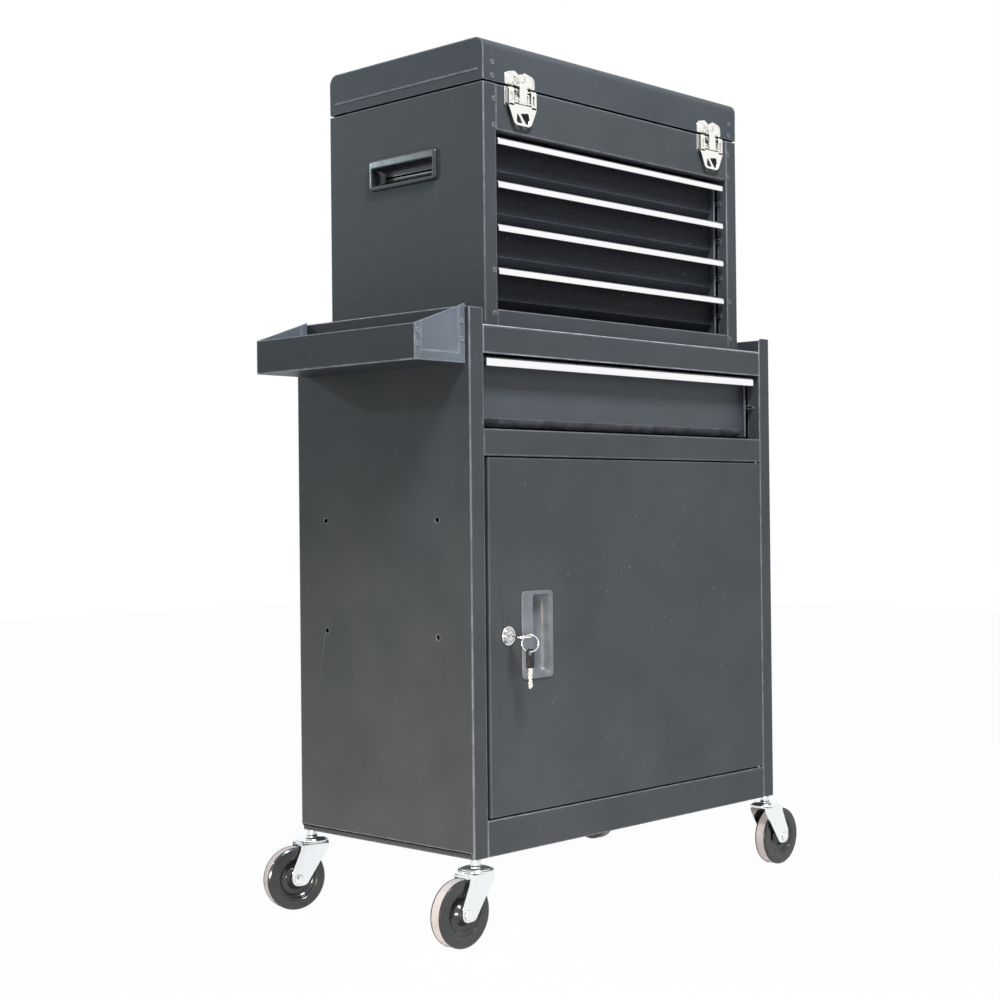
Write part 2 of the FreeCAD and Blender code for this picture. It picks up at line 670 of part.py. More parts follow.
def chest_side(label, across):
    body = new_body(label, FRAME)
    left = s.chest_x
    front = s.chest_y
    post = left + s.chest_post
    section = [(left, front, s.bend), (post, front, s.bend), (post, front + s.chest_return)]
    section += [(post - s.metal, front + s.chest_return), (post - s.metal, front + s.metal)]
    section += [(left + s.metal, front + s.metal), (left + s.metal, chest_back_y - s.metal)]
    section += [(left + 15, chest_back_y - s.metal), (left + 15, chest_back_y)]
    section += [(left, chest_back_y)]
    outline = [(across(p[0]), *p[1:]) for p in section]
    shape(body, "Pad", "XY", chest_low, chest_high - chest_low, outline)
    start = left - 1 if across is same else chest_right - 2
    edge = s.grip_wall + s.weld_gap
    low = s.grip_z + s.grip_low - edge
    high = s.grip_z + s.grip_h - s.grip_top + edge
    first = s.grip_y + s.grip_end - edge
    last = s.grip_y + s.grip_l - s.grip_end + edge
    shape(body, "Pocket", "YZ", start, 3, [(first, low), (last, low), (last, high), (first, high)])
    kept.append(body)


chest_side("chest_left_side", same)
chest_side("chest_right_side", chest_mirror)

# Chest back, bottom, top rail and till floor
inner_back_y = chest_back_y - 2 * s.metal
panel = new_body("chest_back", FRAME)
low = (s.chest_x + s.metal, inner_back_y, chest_low)
block(panel, "Pad", low, (chest_right - s.metal, inner_back_y + s.metal, chest_high))
kept.append(panel)

open_left = s.chest_x + s.chest_post
open_w = s.chest_w - 2 * s.chest_post
front = s.chest_y
sill = s.chest_low_z
bottom = new_body("chest_bottom", FRAME)
section = [(front, chest_low, s.metal), (front, sill, s.bend), (front + 12, sill)]
section += [(front + 12, sill - s.metal), (front + s.metal, sill - s.metal)]
section += [(front + s.metal, chest_low + s.metal), (inner_back_y, chest_low + s.metal)]
section += [(inner_back_y, chest_low)]
shape(bottom, "Pad", "YZ", open_left, open_w, section)
for first, last in ((s.chest_x + s.metal, open_left), (chest_right - s.chest_post, chest_right - s.metal)):
    corner = (first, front + s.chest_return, chest_low)
    block(bottom, "Pad", corner, (last, inner_back_y, chest_low + s.metal))
kept.append(bottom)

head = s.chest_high_z
rail = new_body("chest_top_rail", FRAME)
section = [(front, head, s.bend), (front, chest_high, s.bend), (front + 12, chest_high)]
section += [(front + 12, chest_high - s.metal), (front + s.metal, chest_high - s.metal)]
section += [(front + s.metal, head + s.metal), (front + 12, head + s.metal)]
section += [(front + 12, head)]
shape(rail, "Pad", "YZ", open_left, open_w, section)
kept.append(rail)

till = new_body("chest_till_floor", FRAME)
shelf_y = front + s.chest_return
left = s.chest_x + s.metal
right = chest_right - s.metal
outline = [(open_left, front + s.metal), (open_left + open_w, front + s.metal)]
outline += [(open_left + open_w, shelf_y), (right, shelf_y), (right, inner_back_y)]
outline += [(left, inner_back_y), (left, shelf_y), (open_left, shelf_y)]
shape(till, "Pad", "XY", head + s.metal, s.metal, outline)
kept.append(till)

pairs = []
right_wall = chest_right - s.chest_post
reach = chest_gap - s.runner_gap
for number, level in enumerate(chest_levels, 1):
    middle = level + s.chest_draw_h / 2
    name = "chest_channel_%d" % number
    pairs += channel_pair(name, open_left, right_wall, reach, middle, front + 10, inner_back_y)
kept.append(group("chest_slide_channels", pairs, FRAME))


# Side grips: a moulded rim and cup set into each chest side
def side_grip(label, across):
    grip = new_body(label)
    face = s.chest_x - s.grip_proud
    first = s.grip_y
    last = s.grip_y + s.grip_l
    low = s.grip_z
    high = s.grip_z + s.grip_h
    edge = s.grip_corner
    start = face if across is same else chest_right
    rim = [(first, low, edge), (last, low, edge), (last, high, edge), (first, high, edge)]
    shape(grip, "Pad", "YZ", start, s.grip_proud, rim)
    outside = face if across is same else chest_right + s.grip_proud
    round_edges(grip, 1.8, lambda box: near(box.XMin, outside) and near(box.XMax, outside))
    wall = s.grip_wall
    first = s.grip_y + s.grip_end
    last = s.grip_y + s.grip_l - s.grip_end
    low = s.grip_z + s.grip_low
    high = s.grip_z + s.grip_h - s.grip_top
    cup = [(first - wall, low - wall), (last + wall, low - wall)]
    cup += [(last + wall, high + wall), (first - wall, high + wall)]
    start = s.chest_x if across is same else chest_right - s.grip_deep
    shape(grip, "Pad", "YZ", start, s.grip_deep, cup)
    hollow = [(first, low), (last, low), (last, high), (first, high)]
    start = face - 1 if across is same else chest_right - s.grip_deep + wall
    shape(grip, "Pocket", "YZ", start, s.grip_proud + 1 + s.grip_deep - wall, hollow)
    return grip


grips = [side_grip("grip_left", same), side_grip("grip_right", chest_mirror)]
kept.append(group("chest_side_grips", grips, FRAME))

# Latches: base and lever on the chest, keeper on the lid, claw between them
pivot_z = s.chest_top_z - s.latch_pivot_z
pivot_y = s.chest_y - s.latch_pivot_out
LATCHES = (("left", s.chest_x + s.latch_in), ("right", chest_right - s.latch_in))


def latch_base(label, centre):
    body = new_body(label, (centre, s.chest_y, s.chest_top_z))
    half = s.latch_base_w / 2
    block(body, "Pad", (-half, -1.2, -24.5), (half, 0, -1))
    round_edges(body, 3, lambda box: near(box.ZMin, -24.5) and near(box.XMin, box.XMax) and near(box.ZMax, -24.5))
    ear = [(0, -8), (-1.2, -8), (-5.4, -5.5, 1), (-5.4, -0.6, 2), (0, -0.6)]
    hole = (-s.latch_pivot_out, -s.latch_pivot_z, s.latch_pin_r + s.pin_gap)
    for start in (-10.2, 9):
        shape(body, "Pad", "YZ", start, 1.2, ear)
        shape(body, "Pocket", "YZ", start - 0.1, 1.4, hole)
    return body


def latch_keeper(label, centre):
    body = new_body(label, (centre, s.chest_y, s.chest_top_z))
    half = s.keeper_w / 2
    outline = [(-half, 2.5, 2), (half, 2.5, 2), (half, 17, 7), (9, 21, 4), (0, 15.5, 2)]
    outline += [(-9, 21, 4), (-half, 17, 7)]
    shape(body, "Pad", "XZ", -1.2, 1.2, outline)
    lip = [(0, 7), (-5.6, 7, 1.2), (-5.6, 12.5), (-4.4, 12.5), (-4.4, 8.2), (0, 8.2)]
    shape(body, "Pad", "YZ", -4, 8, lip)
    return body


bases = [latch_base("latch_base_" + side, centre) for side, centre in LATCHES]
kept.append(group("latch_bases", bases, FRAME))
keepers = [latch_keeper("latch_keeper_" + side, centre) for side, centre in LATCHES]
kept.append(group("latch_keepers", keepers, FRAME))


def latch_lever(label, centre):
    """Drawn about its pivot: arms at the top, a tapering plate below."""
    body = new_body(label, shifted(centre, pivot_y, pivot_z))
    half = s.latch_w / 2
    front = s.latch_front - s.latch_pivot_out
    arm = [(1.7, 1.7, 1.6), (1.7, -17), (-front + 1, -21), (-front, -21), (-front, 1.7, 2.4)]
    for start in (-half, half - 1.2):
        shape(body, "Pad", "YZ", start, 1.2, arm)
    plate = [(-half, -18), (-half, -21, 4), (-17, -38), (-14, -43.5, 8), (14, -43.5, 8)]
    plate += [(17, -38), (half, -21, 4), (half, -18)]
    shape(body, "Pad", "XZ", -front, 1.2, plate)
    left_hole = [(-10.5, -30, 0.8), (-8.5, -30, 0.8), (0, -40.5, 1), (-11.5, -40.5, 3)]
    right_hole = [(-4.5, -29, 0.8), (10, -27, 1.5), (12, -35, 2), (9, -40.5, 2), (5, -40.5, 1)]
    shape(body, "Pocket", "XZ", -front - 1, 3, left_hole, right_hole)
    wide = s.latch_w - 0.4
    shape(body, "Pad", "YZ", -half + 0.2, wide, (0, 0, s.latch_pin_r))
    shape(body, "Pad", "YZ", -half + 0.2, wide, (-s.claw_out, -s.claw_drop, s.latch_pin_r))
    kept.append(body)


def latch_claw(label, centre):
    """Drawn about its own pin: a strap with a window that goes over the keeper lip."""
    at = shifted(centre, pivot_y - s.claw_out, pivot_z - s.claw_drop)
    body = new_body(label, at)
    half = s.claw_w / 2
    bore = s.latch_pin_r + s.pin_gap
    strap = [(-half, 0), (half, 0), (half, 34, 1.5), (-half, 34, 1.5)]
    back = s.claw_out + s.latch_pivot_out - 6.05
    shape(body, "Pad", "XZ", back - 1.3, 1.3, strap)
    shape(body, "Pad", "YZ", -half, s.claw_w, (0, 0, s.latch_pin_r + 1.3))
    shape(body, "Pocket", "YZ", -half - 1, s.claw_w + 2, (0, 0, bore))
    window = [(-4.4, 24), (4.4, 24), (4.4, 31.5), (-4.4, 31.5)]
    shape(body, "Pocket", "XZ", back - 2, 3, window)
    kept.append(body)


for side, centre in LATCHES:
    latch_lever("latch_lever_" + side, centre)
    latch_claw("latch_claw_" + side, centre)

# Lid hinges: a lower leaf with the pin on the chest, an upper leaf on the lid
hinge_y = chest_back_y + s.lid_hinge_out
HINGES = (s.chest_x + s.lid_hinge_in, chest_right - s.lid_hinge_in)


def lid_leaf(label, centre, lower):
    at = (centre, hinge_y, s.chest_top_z)
    body = new_body(label, at)
    half = s.lid_leaf_w / 2
    inner = -s.lid_hinge_out
    outer = inner + 1.2
    clear = s.lid_knuckle_r + 1
    sense = -1 if lower else 1
    far = sense * (clear + s.lid_leaf_h)
    near_edge = sense * clear
    low, high = (far, near_edge) if lower else (near_edge, far)
    block(body, "Pad", (-half, inner, low), (half, outer, high))
    spans = ((-10, 10),) if lower else ((-half, -10.5), (10.5, half))
    for first, last in spans:
        low, high = (near_edge - 1, 0) if lower else (0.6, near_edge + 1)
        block(body, "Pad", (first, inner, low), (last, outer, high))
        shape(body, "Pad", "YZ", first, as_size(last) - first, (0, 0, s.lid_knuckle_r))
    if lower:
        shape(body, "Pad", "YZ", -half, s.lid_leaf_w, (0, 0, s.lid_pin_r))
    else:
        shape(body, "Pocket", "YZ", -half - 1, s.lid_leaf_w + 2, (0, 0, s.lid_pin_r + s.pin_gap))
    return body


leaves = [lid_leaf("hinge_lower_%d" % n, x, True) for n, x in enumerate(HINGES, 1)]
kept.append(group("lid_hinge_lower_leaves", leaves, FRAME))
leaves = [lid_leaf("hinge_upper_%d" % n, x, False) for n, x in enumerate(HINGES, 1)]
kept.append(group("lid_hinge_upper_leaves", leaves, FRAME))

# Lid cover and ends
lid_low = s.chest_top_z + s.seat_gap
lid_high = s.chest_top_z + s.lid_h
bend = s.lid_bend
cover = new_body("lid_cover", FRAME)
inner = bend - s.metal
section = [(front, lid_low), (front, lid_high, bend), (chest_back_y, lid_high, bend)]
section += [(chest_back_y, lid_low), (chest_back_y - s.metal, lid_low)]
section += [(chest_back_y - s.metal, lid_high - s.metal, inner)]
section += [(front + s.metal, lid_high - s.metal, inner), (front + s.metal, lid_low)]
shape(cover, "Pad", "YZ", s.chest_x + s.metal, s.chest_w - 2 * s.metal, section)
kept.append(cover)


def lid_end(label, start, bead_start):
    body = new_body(label)
    outline = [(front, lid_low), (front, lid_high, bend), (chest_back_y, lid_high, bend)]
    outline += [(chest_back_y, lid_low)]
    shape(body, "Pad", "YZ", start, s.metal, outline)
    low = s.chest_top_z + s.bead_up
    high = low + s.bead_w
    inset = 9.4
    first = front + inset
    last = chest_back_y - inset
    bead = [(first, low, 0.8), (last, low, 0.8), (last, high, 0.8), (first, high, 0.8)]
    shape(body, "Pad", "YZ", bead_start, s.bead_out, bead)
    return body


ends = [lid_end("lid_end_left", s.chest_x, s.chest_x - s.bead_out)]
ends.append(lid_end("lid_end_right", chest_right - s.metal, chest_right))
kept.append(group("lid_ends", ends, FRAME))

# Door panel: a shallow pan, with cut-outs for the pull and the lock
door = new_body("door_panel", FRAME)
block(door, "Pad", (s.door_left, 0, s.door_low), (s.door_right, s.door_t, s.door_high))
round_edges(door, s.bend, lambda box: near(box.YMin, 0) and near(box.YMax, 0))
low = (s.door_left + s.metal, s.metal, s.door_low + s.metal)
high = (s.door_right - s.metal, s.door_t + 1, s.door_high - s.metal)
block(door, "Pocket", low, high)
cup_left = s.pull_left + 4
cup_right = s.pull_left + s.pull_w - s.pull_rim + s.pull_wall
cup_low = s.pull_low + s.pull_end - s.pull_wall
cup_high = s.pull_low + s.pull_h - s.pull_end + s.pull_wall
gap = s.weld_gap
outline = [(cup_left - gap, cup_low - gap), (cup_right + gap, cup_low - gap)]
outline += [(cup_right + gap, cup_high + gap), (cup_left - gap, cup_high + gap)]
hole = (s.lock_x, s.lock_z, s.lock_body_r + gap)
shape(door, "Pocket", "XZ", -1, 3, outline, hole)
hole = (s.hinge_x, s.hinge_y, s.hinge_r + s.pin_gap)
shape(door, "Pocket", "XY", s.door_low - 1, 3, hole)
shape(door, "Pocket", "XY", s.door_high - 2, 3, hole)
kept.append(door)


# Door pivot pins, headed inside the rails
def hinge_pin(label, at, angle):
    pin = new_body(label, at, (1, 0, 0), angle)
    reach = s.metal + (s.mid_low_z - s.door_high) + s.hinge_reach
    head = s.hinge_head_r
    section = [(0, 0), (s.hinge_r, 0), (s.hinge_r, reach), (head, reach), (head, reach + 2)]
    turn(pin, section + [(0, reach + 2)])
    return pin


top_pin = (s.hinge_x, s.hinge_y, s.door_high - s.hinge_reach)
low_pin = (s.hinge_x, s.hinge_y, s.door_low + s.hinge_reach)
pins = [hinge_pin("pivot_pin_top", top_pin, 0), hinge_pin("pivot_pin_low", low_pin, 180)]
kept.append(group("door_pivot_pins", pins, FRAME))

# Door pull: a moulded rim with a cup, undercut behind the wide grip lip
pull = new_body("door_pull", FRAME)
low_x = s.pull_left
high_x = s.pull_left + s.pull_w
low_z = s.pull_low
high_z = s.pull_low + s.pull_h
edge = s.pull_corner
rim = [(low_x, low_z, edge), (high_x, low_z, edge), (high_x, high_z, edge), (low_x, high_z, edge)]
shape(pull, "Pad", "XZ", -s.pull_proud, s.pull_proud, rim)
proud = -s.pull_proud
round_edges(pull, 1, lambda box: near(box.YMin, proud) and near(box.YMax, proud))
cup = [(cup_left, cup_low), (cup_right, cup_low), (cup_right, cup_high), (cup_left, cup_high)]
shape(pull, "Pad", "XZ", 0, s.pull_deep, cup)
open_x = low_x + s.pull_lip
end_x = high_x - s.pull_rim
open_low = low_z + s.pull_end
open_high = high_z - s.pull_end
mouth = [(open_x, open_low), (end_x, open_low), (end_x, open_high), (open_x, open_high)]
cup_t = s.pull_wall
shape(pull, "Pocket", "XZ", -s.pull_proud - 1, s.pull_proud + 1 + s.pull_deep - cup_t, mouth)
hollow_x = cup_left + cup_t
hollow = [(hollow_x, open_low), (end_x, open_low), (end_x, open_high), (hollow_x, open_high)]
shape(pull, "Pocket", "XZ", 3, s.pull_deep - cup_t - 3, hollow)
kept.append(pull)

# Lock: barrel with its nut, turning plug with the cam, and the key in it
lock_at = shifted(s.lock_x, 0, s.lock_z)
barrel = new_body("lock_barrel", lock_at, (1, 0, 0), 90)
bore = s.plug_r + s.pin_gap
body_r = s.lock_body_r
nut = body_r + 4
section = [(bore, -s.lock_deep), (body_r, -s.lock_deep), (body_r, -5), (nut, -5)]
section += [(nut, -s.metal), (body_r, -s.metal), (body_r, 0), (s.lock_face_r, 0)]
section += [(s.lock_face_r, s.lock_proud, 1.6), (bore, s.lock_proud)]
turn(barrel, section)
kept.append(barrel)

plug = new_body("lock_plug", lock_at, (1, 0, 0), 90)
cam_back = s.lock_deep + 0.5 + s.cam_t
turn(plug, [(0, -cam_back), (s.plug_r, -cam_back), (s.plug_r, s.lock_proud - 0.6), (0, s.lock_proud - 0.6)])
half = s.cam_w / 2
cam = [(-half, 0), (-half, -s.cam_len, 5), (half, -s.cam_len, 5), (half, 0)]
shape(plug, "Pad", "XY", -cam_back, s.cam_t, cam)
half = s.key_w / 2 + s.weld_gap
thick = s.key_t / 2 + s.weld_gap
slot = [(-half, -thick), (half, -thick), (half, thick), (-half, thick)]
shape(plug, "Pocket", "XY", -10, 20, slot)
kept.append(plug)

key = new_body("lock_key", lock_at)
half = s.key_w / 2
blade = [(-half, -s.key_bow_y), (half, -s.key_bow_y), (half, 9), (0, 9.5), (-half, 9)]
shape(key, "Pad", "XY", -s.key_t / 2, s.key_t, blade)
shape(key, "Pad", "XY", -s.key_t / 2, s.key_t, (0, -s.key_bow_y, s.key_bow_r))
eye = (0, -s.key_bow_y - s.key_eye_off, s.key_eye_r)
shape(key, "Pocket", "XY", -s.key_t, 2 * s.key_t, eye)
kept.append(key)

# Key ring with the spare key hanging from it; the ring faces the front left
turned = math.radians(46.5)
along = (math.cos(turned), -math.sin(turned))
swing = (s.ring_r * s.ring_r - s.ring_drop * s.ring_drop).number ** 0.5
ring_x = s.lock_x + along[0] * swing
ring_y = -s.key_bow_y - s.key_eye_off + along[1] * swing
ring_z = s.lock_z - s.ring_drop
ring = doc.addObject("Part::Torus", "ring_wire")
ring.Label = "ring_wire"
bind(ring, "Radius1", s.ring_r)
bind(ring, "Radius2", s.ring_wire)
facing = Rotation(Vector(0, 0, 1), -46.5).multiply(Rotation(Vector(1, 0, 0), 90))
place(ring, (ring_x, ring_y, ring_z), tuple(facing.Axis), math.degrees(facing.Angle))
hang = (ring_x, ring_y, ring_z - s.ring_r)
spare = new_body("spare_blade", hang, (0, 0, 1), -6)
blade = [(-3, -43.5, 1), (0.5, -43.5, 1), (3, -41), (3, -10), (-3, -10)]
shape(spare, "Pad", "XZ", -0.6, 1.2, blade)
bow = new_body("spare_bow", hang, (0, 0, 1), -6)
outline = [(-6, -19.5, 2), (6, -19.5, 2), (6, 3.6, 3.5), (-6, 3.6, 3.5)]
shape(bow, "Pad", "XZ", -1.2, 2.4, outline)
shape(bow, "Pocket", "XZ", -2, 4, (0, -1.4, 3.3))
slot = [(-3.1, -20), (3.1, -20), (3.1, -9.9), (-3.1, -9.9)]
shape(bow, "Pocket", "XZ", -0.7, 1.4, slot)
kept.append(group("key_ring", [ring, bow, spare], FRAME))

# Side tray: trough with a hook over the cabinet rim, and two end plates
tray = new_body("tray_pan", FRAME)
outer_x = -s.tray_out
low_z = s.tray_z
back_x = -s.tray_gap - s.metal
hook_z = s.base_h + s.tray_gap + s.metal
leg_x = s.metal + s.tray_gap
leg_z = hook_z - s.tray_hook
section = [(outer_x, low_z, s.bend), (-s.tray_gap, low_z, s.bend), (-s.tray_gap, hook_z - s.metal)]
section += [(leg_x, hook_z - s.metal), (leg_x, leg_z), (leg_x + s.metal, leg_z)]
section += [(leg_x + s.metal, hook_z, s.metal), (back_x, hook_z, s.metal)]
section += [(back_x, low_z + s.metal), (outer_x + s.metal, low_z + s.metal)]
section += [(outer_x + s.metal, low_z + s.tray_h), (outer_x, low_z + s.tray_h)]
shape(tray, "Pad", "XZ", s.tray_y, s.tray_l, section)
slope = (s.tray_end_h - s.tray_h) / (s.tray_out - s.tray_gap)
inner_x = -s.tray_gap
top_z = low_z + s.tray_end_h
flange = [(outer_x, low_z), (inner_x, low_z), (inner_x, top_z)]
flange += [(inner_x - s.tray_flange, top_z - slope * s.tray_flange)]
flange += [(inner_x - s.tray_flange, low_z + s.tray_foot)]
flange += [(outer_x + s.tray_flange, low_z + s.tray_foot)]
flange += [(outer_x + s.tray_flange, low_z + s.tray_h + slope * s.tray_flange)]
flange += [(outer_x, low_z + s.tray_h)]
for start in (s.tray_y, s.tray_y + s.tray_l - s.metal):
    shape(tray, "Pad", "XZ", start, s.metal, flange)
kept.append(tray)


def tray_end(label, start):
    plate = new_body(label)
    left = outer_x + s.metal
    right = back_x
    floor_z = low_z + s.metal
    outline = [(left, floor_z), (right, floor_z), (right, top_z - slope * s.metal)]
    outline += [(left, low_z + s.tray_h + slope * s.metal)]
    shape(plate, "Pad", "XZ", start, s.metal, outline)
    return plate


ends = [tray_end("tray_end_front", s.tray_y + s.metal)]
ends.append(tray_end("tray_end_back", s.tray_y + s.tray_l - 2 * s.metal))
kept.append(group("tray_ends", ends, FRAME))


# Caster stems: headed inside the floor pan, with a collar under it
def stem(label, across, depth):
    post = new_body(label, (across, depth, 0))
    low = -(s.neck_h + s.race_h + s.fork_t)
    head = s.stem_head_r
    section = [(0, 3), (head, 3, 1), (head, s.metal), (s.stem_r, s.metal), (s.stem_r, 0)]
    section += [(s.neck_r, 0), (s.neck_r, -s.neck_h), (s.stem_r, -s.neck_h), (s.stem_r, low - 0.4)]
    section += [(s.neck_r, low - 0.4), (s.neck_r, low - 2.4, 1), (0, low - 2.4)]
    turn(post, section)
    return post


stems = [stem("stem_%d" % n, *spot) for n, spot in enumerate(STEMS, 1)]
kept.append(group("caster_stems", stems, FRAME))

# Swivel forks and wheels; X runs from the stem towards the axle
CASTERS = (("front_left", 0, 178), ("front_right", 1, -1))
CASTERS += (("rear_left", 2, 165), ("rear_right", 3, 90))
plate_top = -(s.neck_h + s.race_h)
plate_low = plate_top - s.fork_t
axle_up = s.axle_z - s.frame_z


def caster(name, spot, angle):
    at = shifted(*spot, 0)
    half = s.fork_w / 2
    fork = new_body(name + "_bracket", (0, 0, 0))
    block(fork, "Pad", (-s.fork_front, -half, plate_low), (s.fork_back, half, plate_top))
    end = s.fork_end_r
    arm = [(-s.fork_front, plate_top), (-s.fork_front, plate_low - 5, 4)]
    arm += [(s.trail - end - 2, axle_up - end + 1, end - 1), (s.trail + end, axle_up - end, end)]
    arm += [(s.trail + end, axle_up + end, end), (s.fork_back, plate_low - 6)]
    arm += [(s.fork_back, plate_top)]
    for start in (-half, half - s.fork_t):
        shape(fork, "Pad", "XZ", start, s.fork_t, arm)
    hole_r = s.stem_r + 1.6 * s.pin_gap
    shape(fork, "Pocket", "XY", plate_low - 1, s.fork_t + 2, (0, 0, hole_r))
    shape(fork, "Pocket", "XZ", -half - 1, s.fork_w + 2, (s.trail, axle_up, s.axle_r + s.pin_gap))
    race = new_body(name + "_race")
    low = plate_top
    high = -s.neck_h - 0.3
    section = [(hole_r, low), (s.race_r, low), (s.race_r, low + 3, 2), (9, high), (hole_r, high)]
    turn(race, section)
    axle = new_body(name + "_axle", (s.trail, 0, axle_up), (1, 0, 0), 90)
    head = s.axle_head_r
    far = half + 2
    section = [(0, -far), (head, -far), (head, -half), (s.axle_r, -half), (s.axle_r, half)]
    section += [(head, half), (head, far), (0, far)]
    turn(axle, section)
    whole = group("caster_" + name, [fork, race, axle])
    place(whole, at, (0, 0, 1), angle)
    kept.append(whole)

    hub = s.hub_w / 2
    wide = s.wheel_w / 2
    band = s.tread_w / 2
    rim = s.wheel_r
    bore = s.axle_r + s.pin_gap
    here = (s.trail, 0, axle_up)
    core = new_body(name + "_core", here, (1, 0, 0), 90)
    section = [(bore, -hub), (9, -hub), (11, -hub + 3), (14, 3 - wide), (24, 2 - wide), (27, -wide)]
    section += [(rim - 2.5, -wide), (rim, 2 - wide), (rim, -band), (rim - 1.2, -band)]
    section += [(rim - 1.2, band), (rim, band), (rim, wide - 2), (rim - 2.5, wide), (27, wide)]
    section += [(24, wide - 2), (14, wide - 3), (11, hub - 3), (9, hub), (bore, hub)]
    turn(core, section)
    tread = new_body(name + "_tread", here, (1, 0, 0), 90)
    turn(tread, [(rim - 1.2, -band), (rim - 0.4, -band), (rim - 0.4, band), (rim - 1.2, band)])
    wheel = group("wheel_" + name, [core, tread])
    place(wheel, at, (0, 0, 1), angle)
    kept.append(wheel)


for name, index, angle in CASTERS:
    caster(name, STEMS[index], angle)

# Check every object, then write one file per sub-part
doc.recompute()
for thing in doc.Objects:
    if "Invalid" in thing.State or "Error" in thing.State:
        raise RuntimeError("bad state in " + thing.Label)
for part in kept:
    if part.Shape.isNull() or not part.Shape.isValid():
        raise RuntimeError("bad shape in " + part.Label)
    part.Shape.exportStep(os.path.join("parts", part.Label + ".step"))
whole_box = FreeCAD.BoundBox()
for part in kept:
    whole_box.add(part.Shape.BoundBox)
print("sub-parts", len(kept), "bounds", whole_box)
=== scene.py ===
import math

import bmesh
import bpy
from mathutils import Matrix, Vector


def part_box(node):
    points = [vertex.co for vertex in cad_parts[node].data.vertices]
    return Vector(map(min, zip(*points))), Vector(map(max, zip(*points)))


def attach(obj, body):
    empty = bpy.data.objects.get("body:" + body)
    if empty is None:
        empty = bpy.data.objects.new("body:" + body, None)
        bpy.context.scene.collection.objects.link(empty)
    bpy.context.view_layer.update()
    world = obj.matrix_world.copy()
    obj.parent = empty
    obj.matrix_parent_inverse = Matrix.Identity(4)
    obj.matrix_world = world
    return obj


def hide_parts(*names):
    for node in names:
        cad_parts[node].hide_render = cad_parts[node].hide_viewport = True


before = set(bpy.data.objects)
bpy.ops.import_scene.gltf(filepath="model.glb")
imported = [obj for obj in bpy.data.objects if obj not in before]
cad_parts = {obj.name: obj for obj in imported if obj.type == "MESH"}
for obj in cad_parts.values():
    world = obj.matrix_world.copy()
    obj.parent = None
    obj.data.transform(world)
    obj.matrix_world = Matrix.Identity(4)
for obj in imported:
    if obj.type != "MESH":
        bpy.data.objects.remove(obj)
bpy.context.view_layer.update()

# Rolling cabinet shell: 1 mm steel sheets, folded, spot-welded into a box and powder coated
# in charcoal. Its edges and bends carry a pale painted highlight.
MM = 0.001
SHELL = ("base_left_side", "base_right_side", "base_back", "base_floor", "base_mid_rail",
         "base_bottom_rail", "base_shelf")
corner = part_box("base_left_side")[0]


def linear(code):
    """An sRGB hex value as the linear colour that a shader takes."""
    channels = [int(code[start:start + 2], 16) / 255 for start in (1, 3, 5)]
    return [c / 12.92 if c <= 0.04045 else ((c + 0.055) / 1.055) ** 2.4 for c in channels] + [1]


def add(tree, kind, inputs=None, **settings):
    """Adds one node with its settings, and its inputs as values or as links."""
    node = tree.nodes.new("ShaderNode" + kind)
    for name, value in settings.items():
        setattr(node, name, value)
    for name, value in (inputs or {}).items():
        if isinstance(value, bpy.types.NodeSocket):
            tree.links.new(value, node.inputs[name])
        else:
            node.inputs[name].default_value = value
    return node


def empty_material(name):
    """A material with no nodes yet, its tree, and the place of each point on its piece."""
    material = bpy.data.materials.new(name)
    material.use_nodes = True
    tree = material.node_tree
    tree.nodes.clear()
    return material, tree, add(tree, "TexCoord").outputs["Object"]


def dust_specks(tree, place):
    """How much of each point a speck of dust covers: specks 1 mm across, a few in 100 mm."""
    cells = add(tree, "TexVoronoi", {"Vector": place, "Scale": 1 / (15 * MM)})
    fleck = add(tree, "MapRange", {"Value": cells.outputs["Distance"], "From Min": 0.035, "From Max": 0.07,
                                   "To Min": 1.0, "To Max": 0.0}).outputs["Result"]
    pick = add(tree, "SeparateColor", {"Color": cells.outputs["Color"]}).outputs[0]
    pick = add(tree, "MapRange", {"Value": pick, "From Min": 0.5, "From Max": 0.95,
                                  "To Max": 0.8}).outputs["Result"]
    return add(tree, "Math", {0: fleck, 1: pick}, operation="MULTIPLY").outputs[0]


def hairlines(tree, place):
    """Scratches 0.3 mm wide, broken into lengths of about 30 mm."""
    bent = add(tree, "TexNoise", {"Vector": place, "Scale": 1 / (60 * MM), "Detail": 1.0,
                                  "Distortion": 1.5})
    line = add(tree, "Math", {0: bent.outputs["Fac"], 1: 0.5, 2: 0.0006}, operation="COMPARE").outputs[0]
    patch = add(tree, "TexNoise", {"Vector": place, "Scale": 1 / (35 * MM)}).outputs["Fac"]
    patch = add(tree, "MapRange", {"Value": patch, "From Min": 0.6, "From Max": 0.68,
                                   "To Max": 0.3}).outputs["Result"]
    return add(tree, "Math", {0: line, 1: patch}, operation="MULTIPLY").outputs[0]


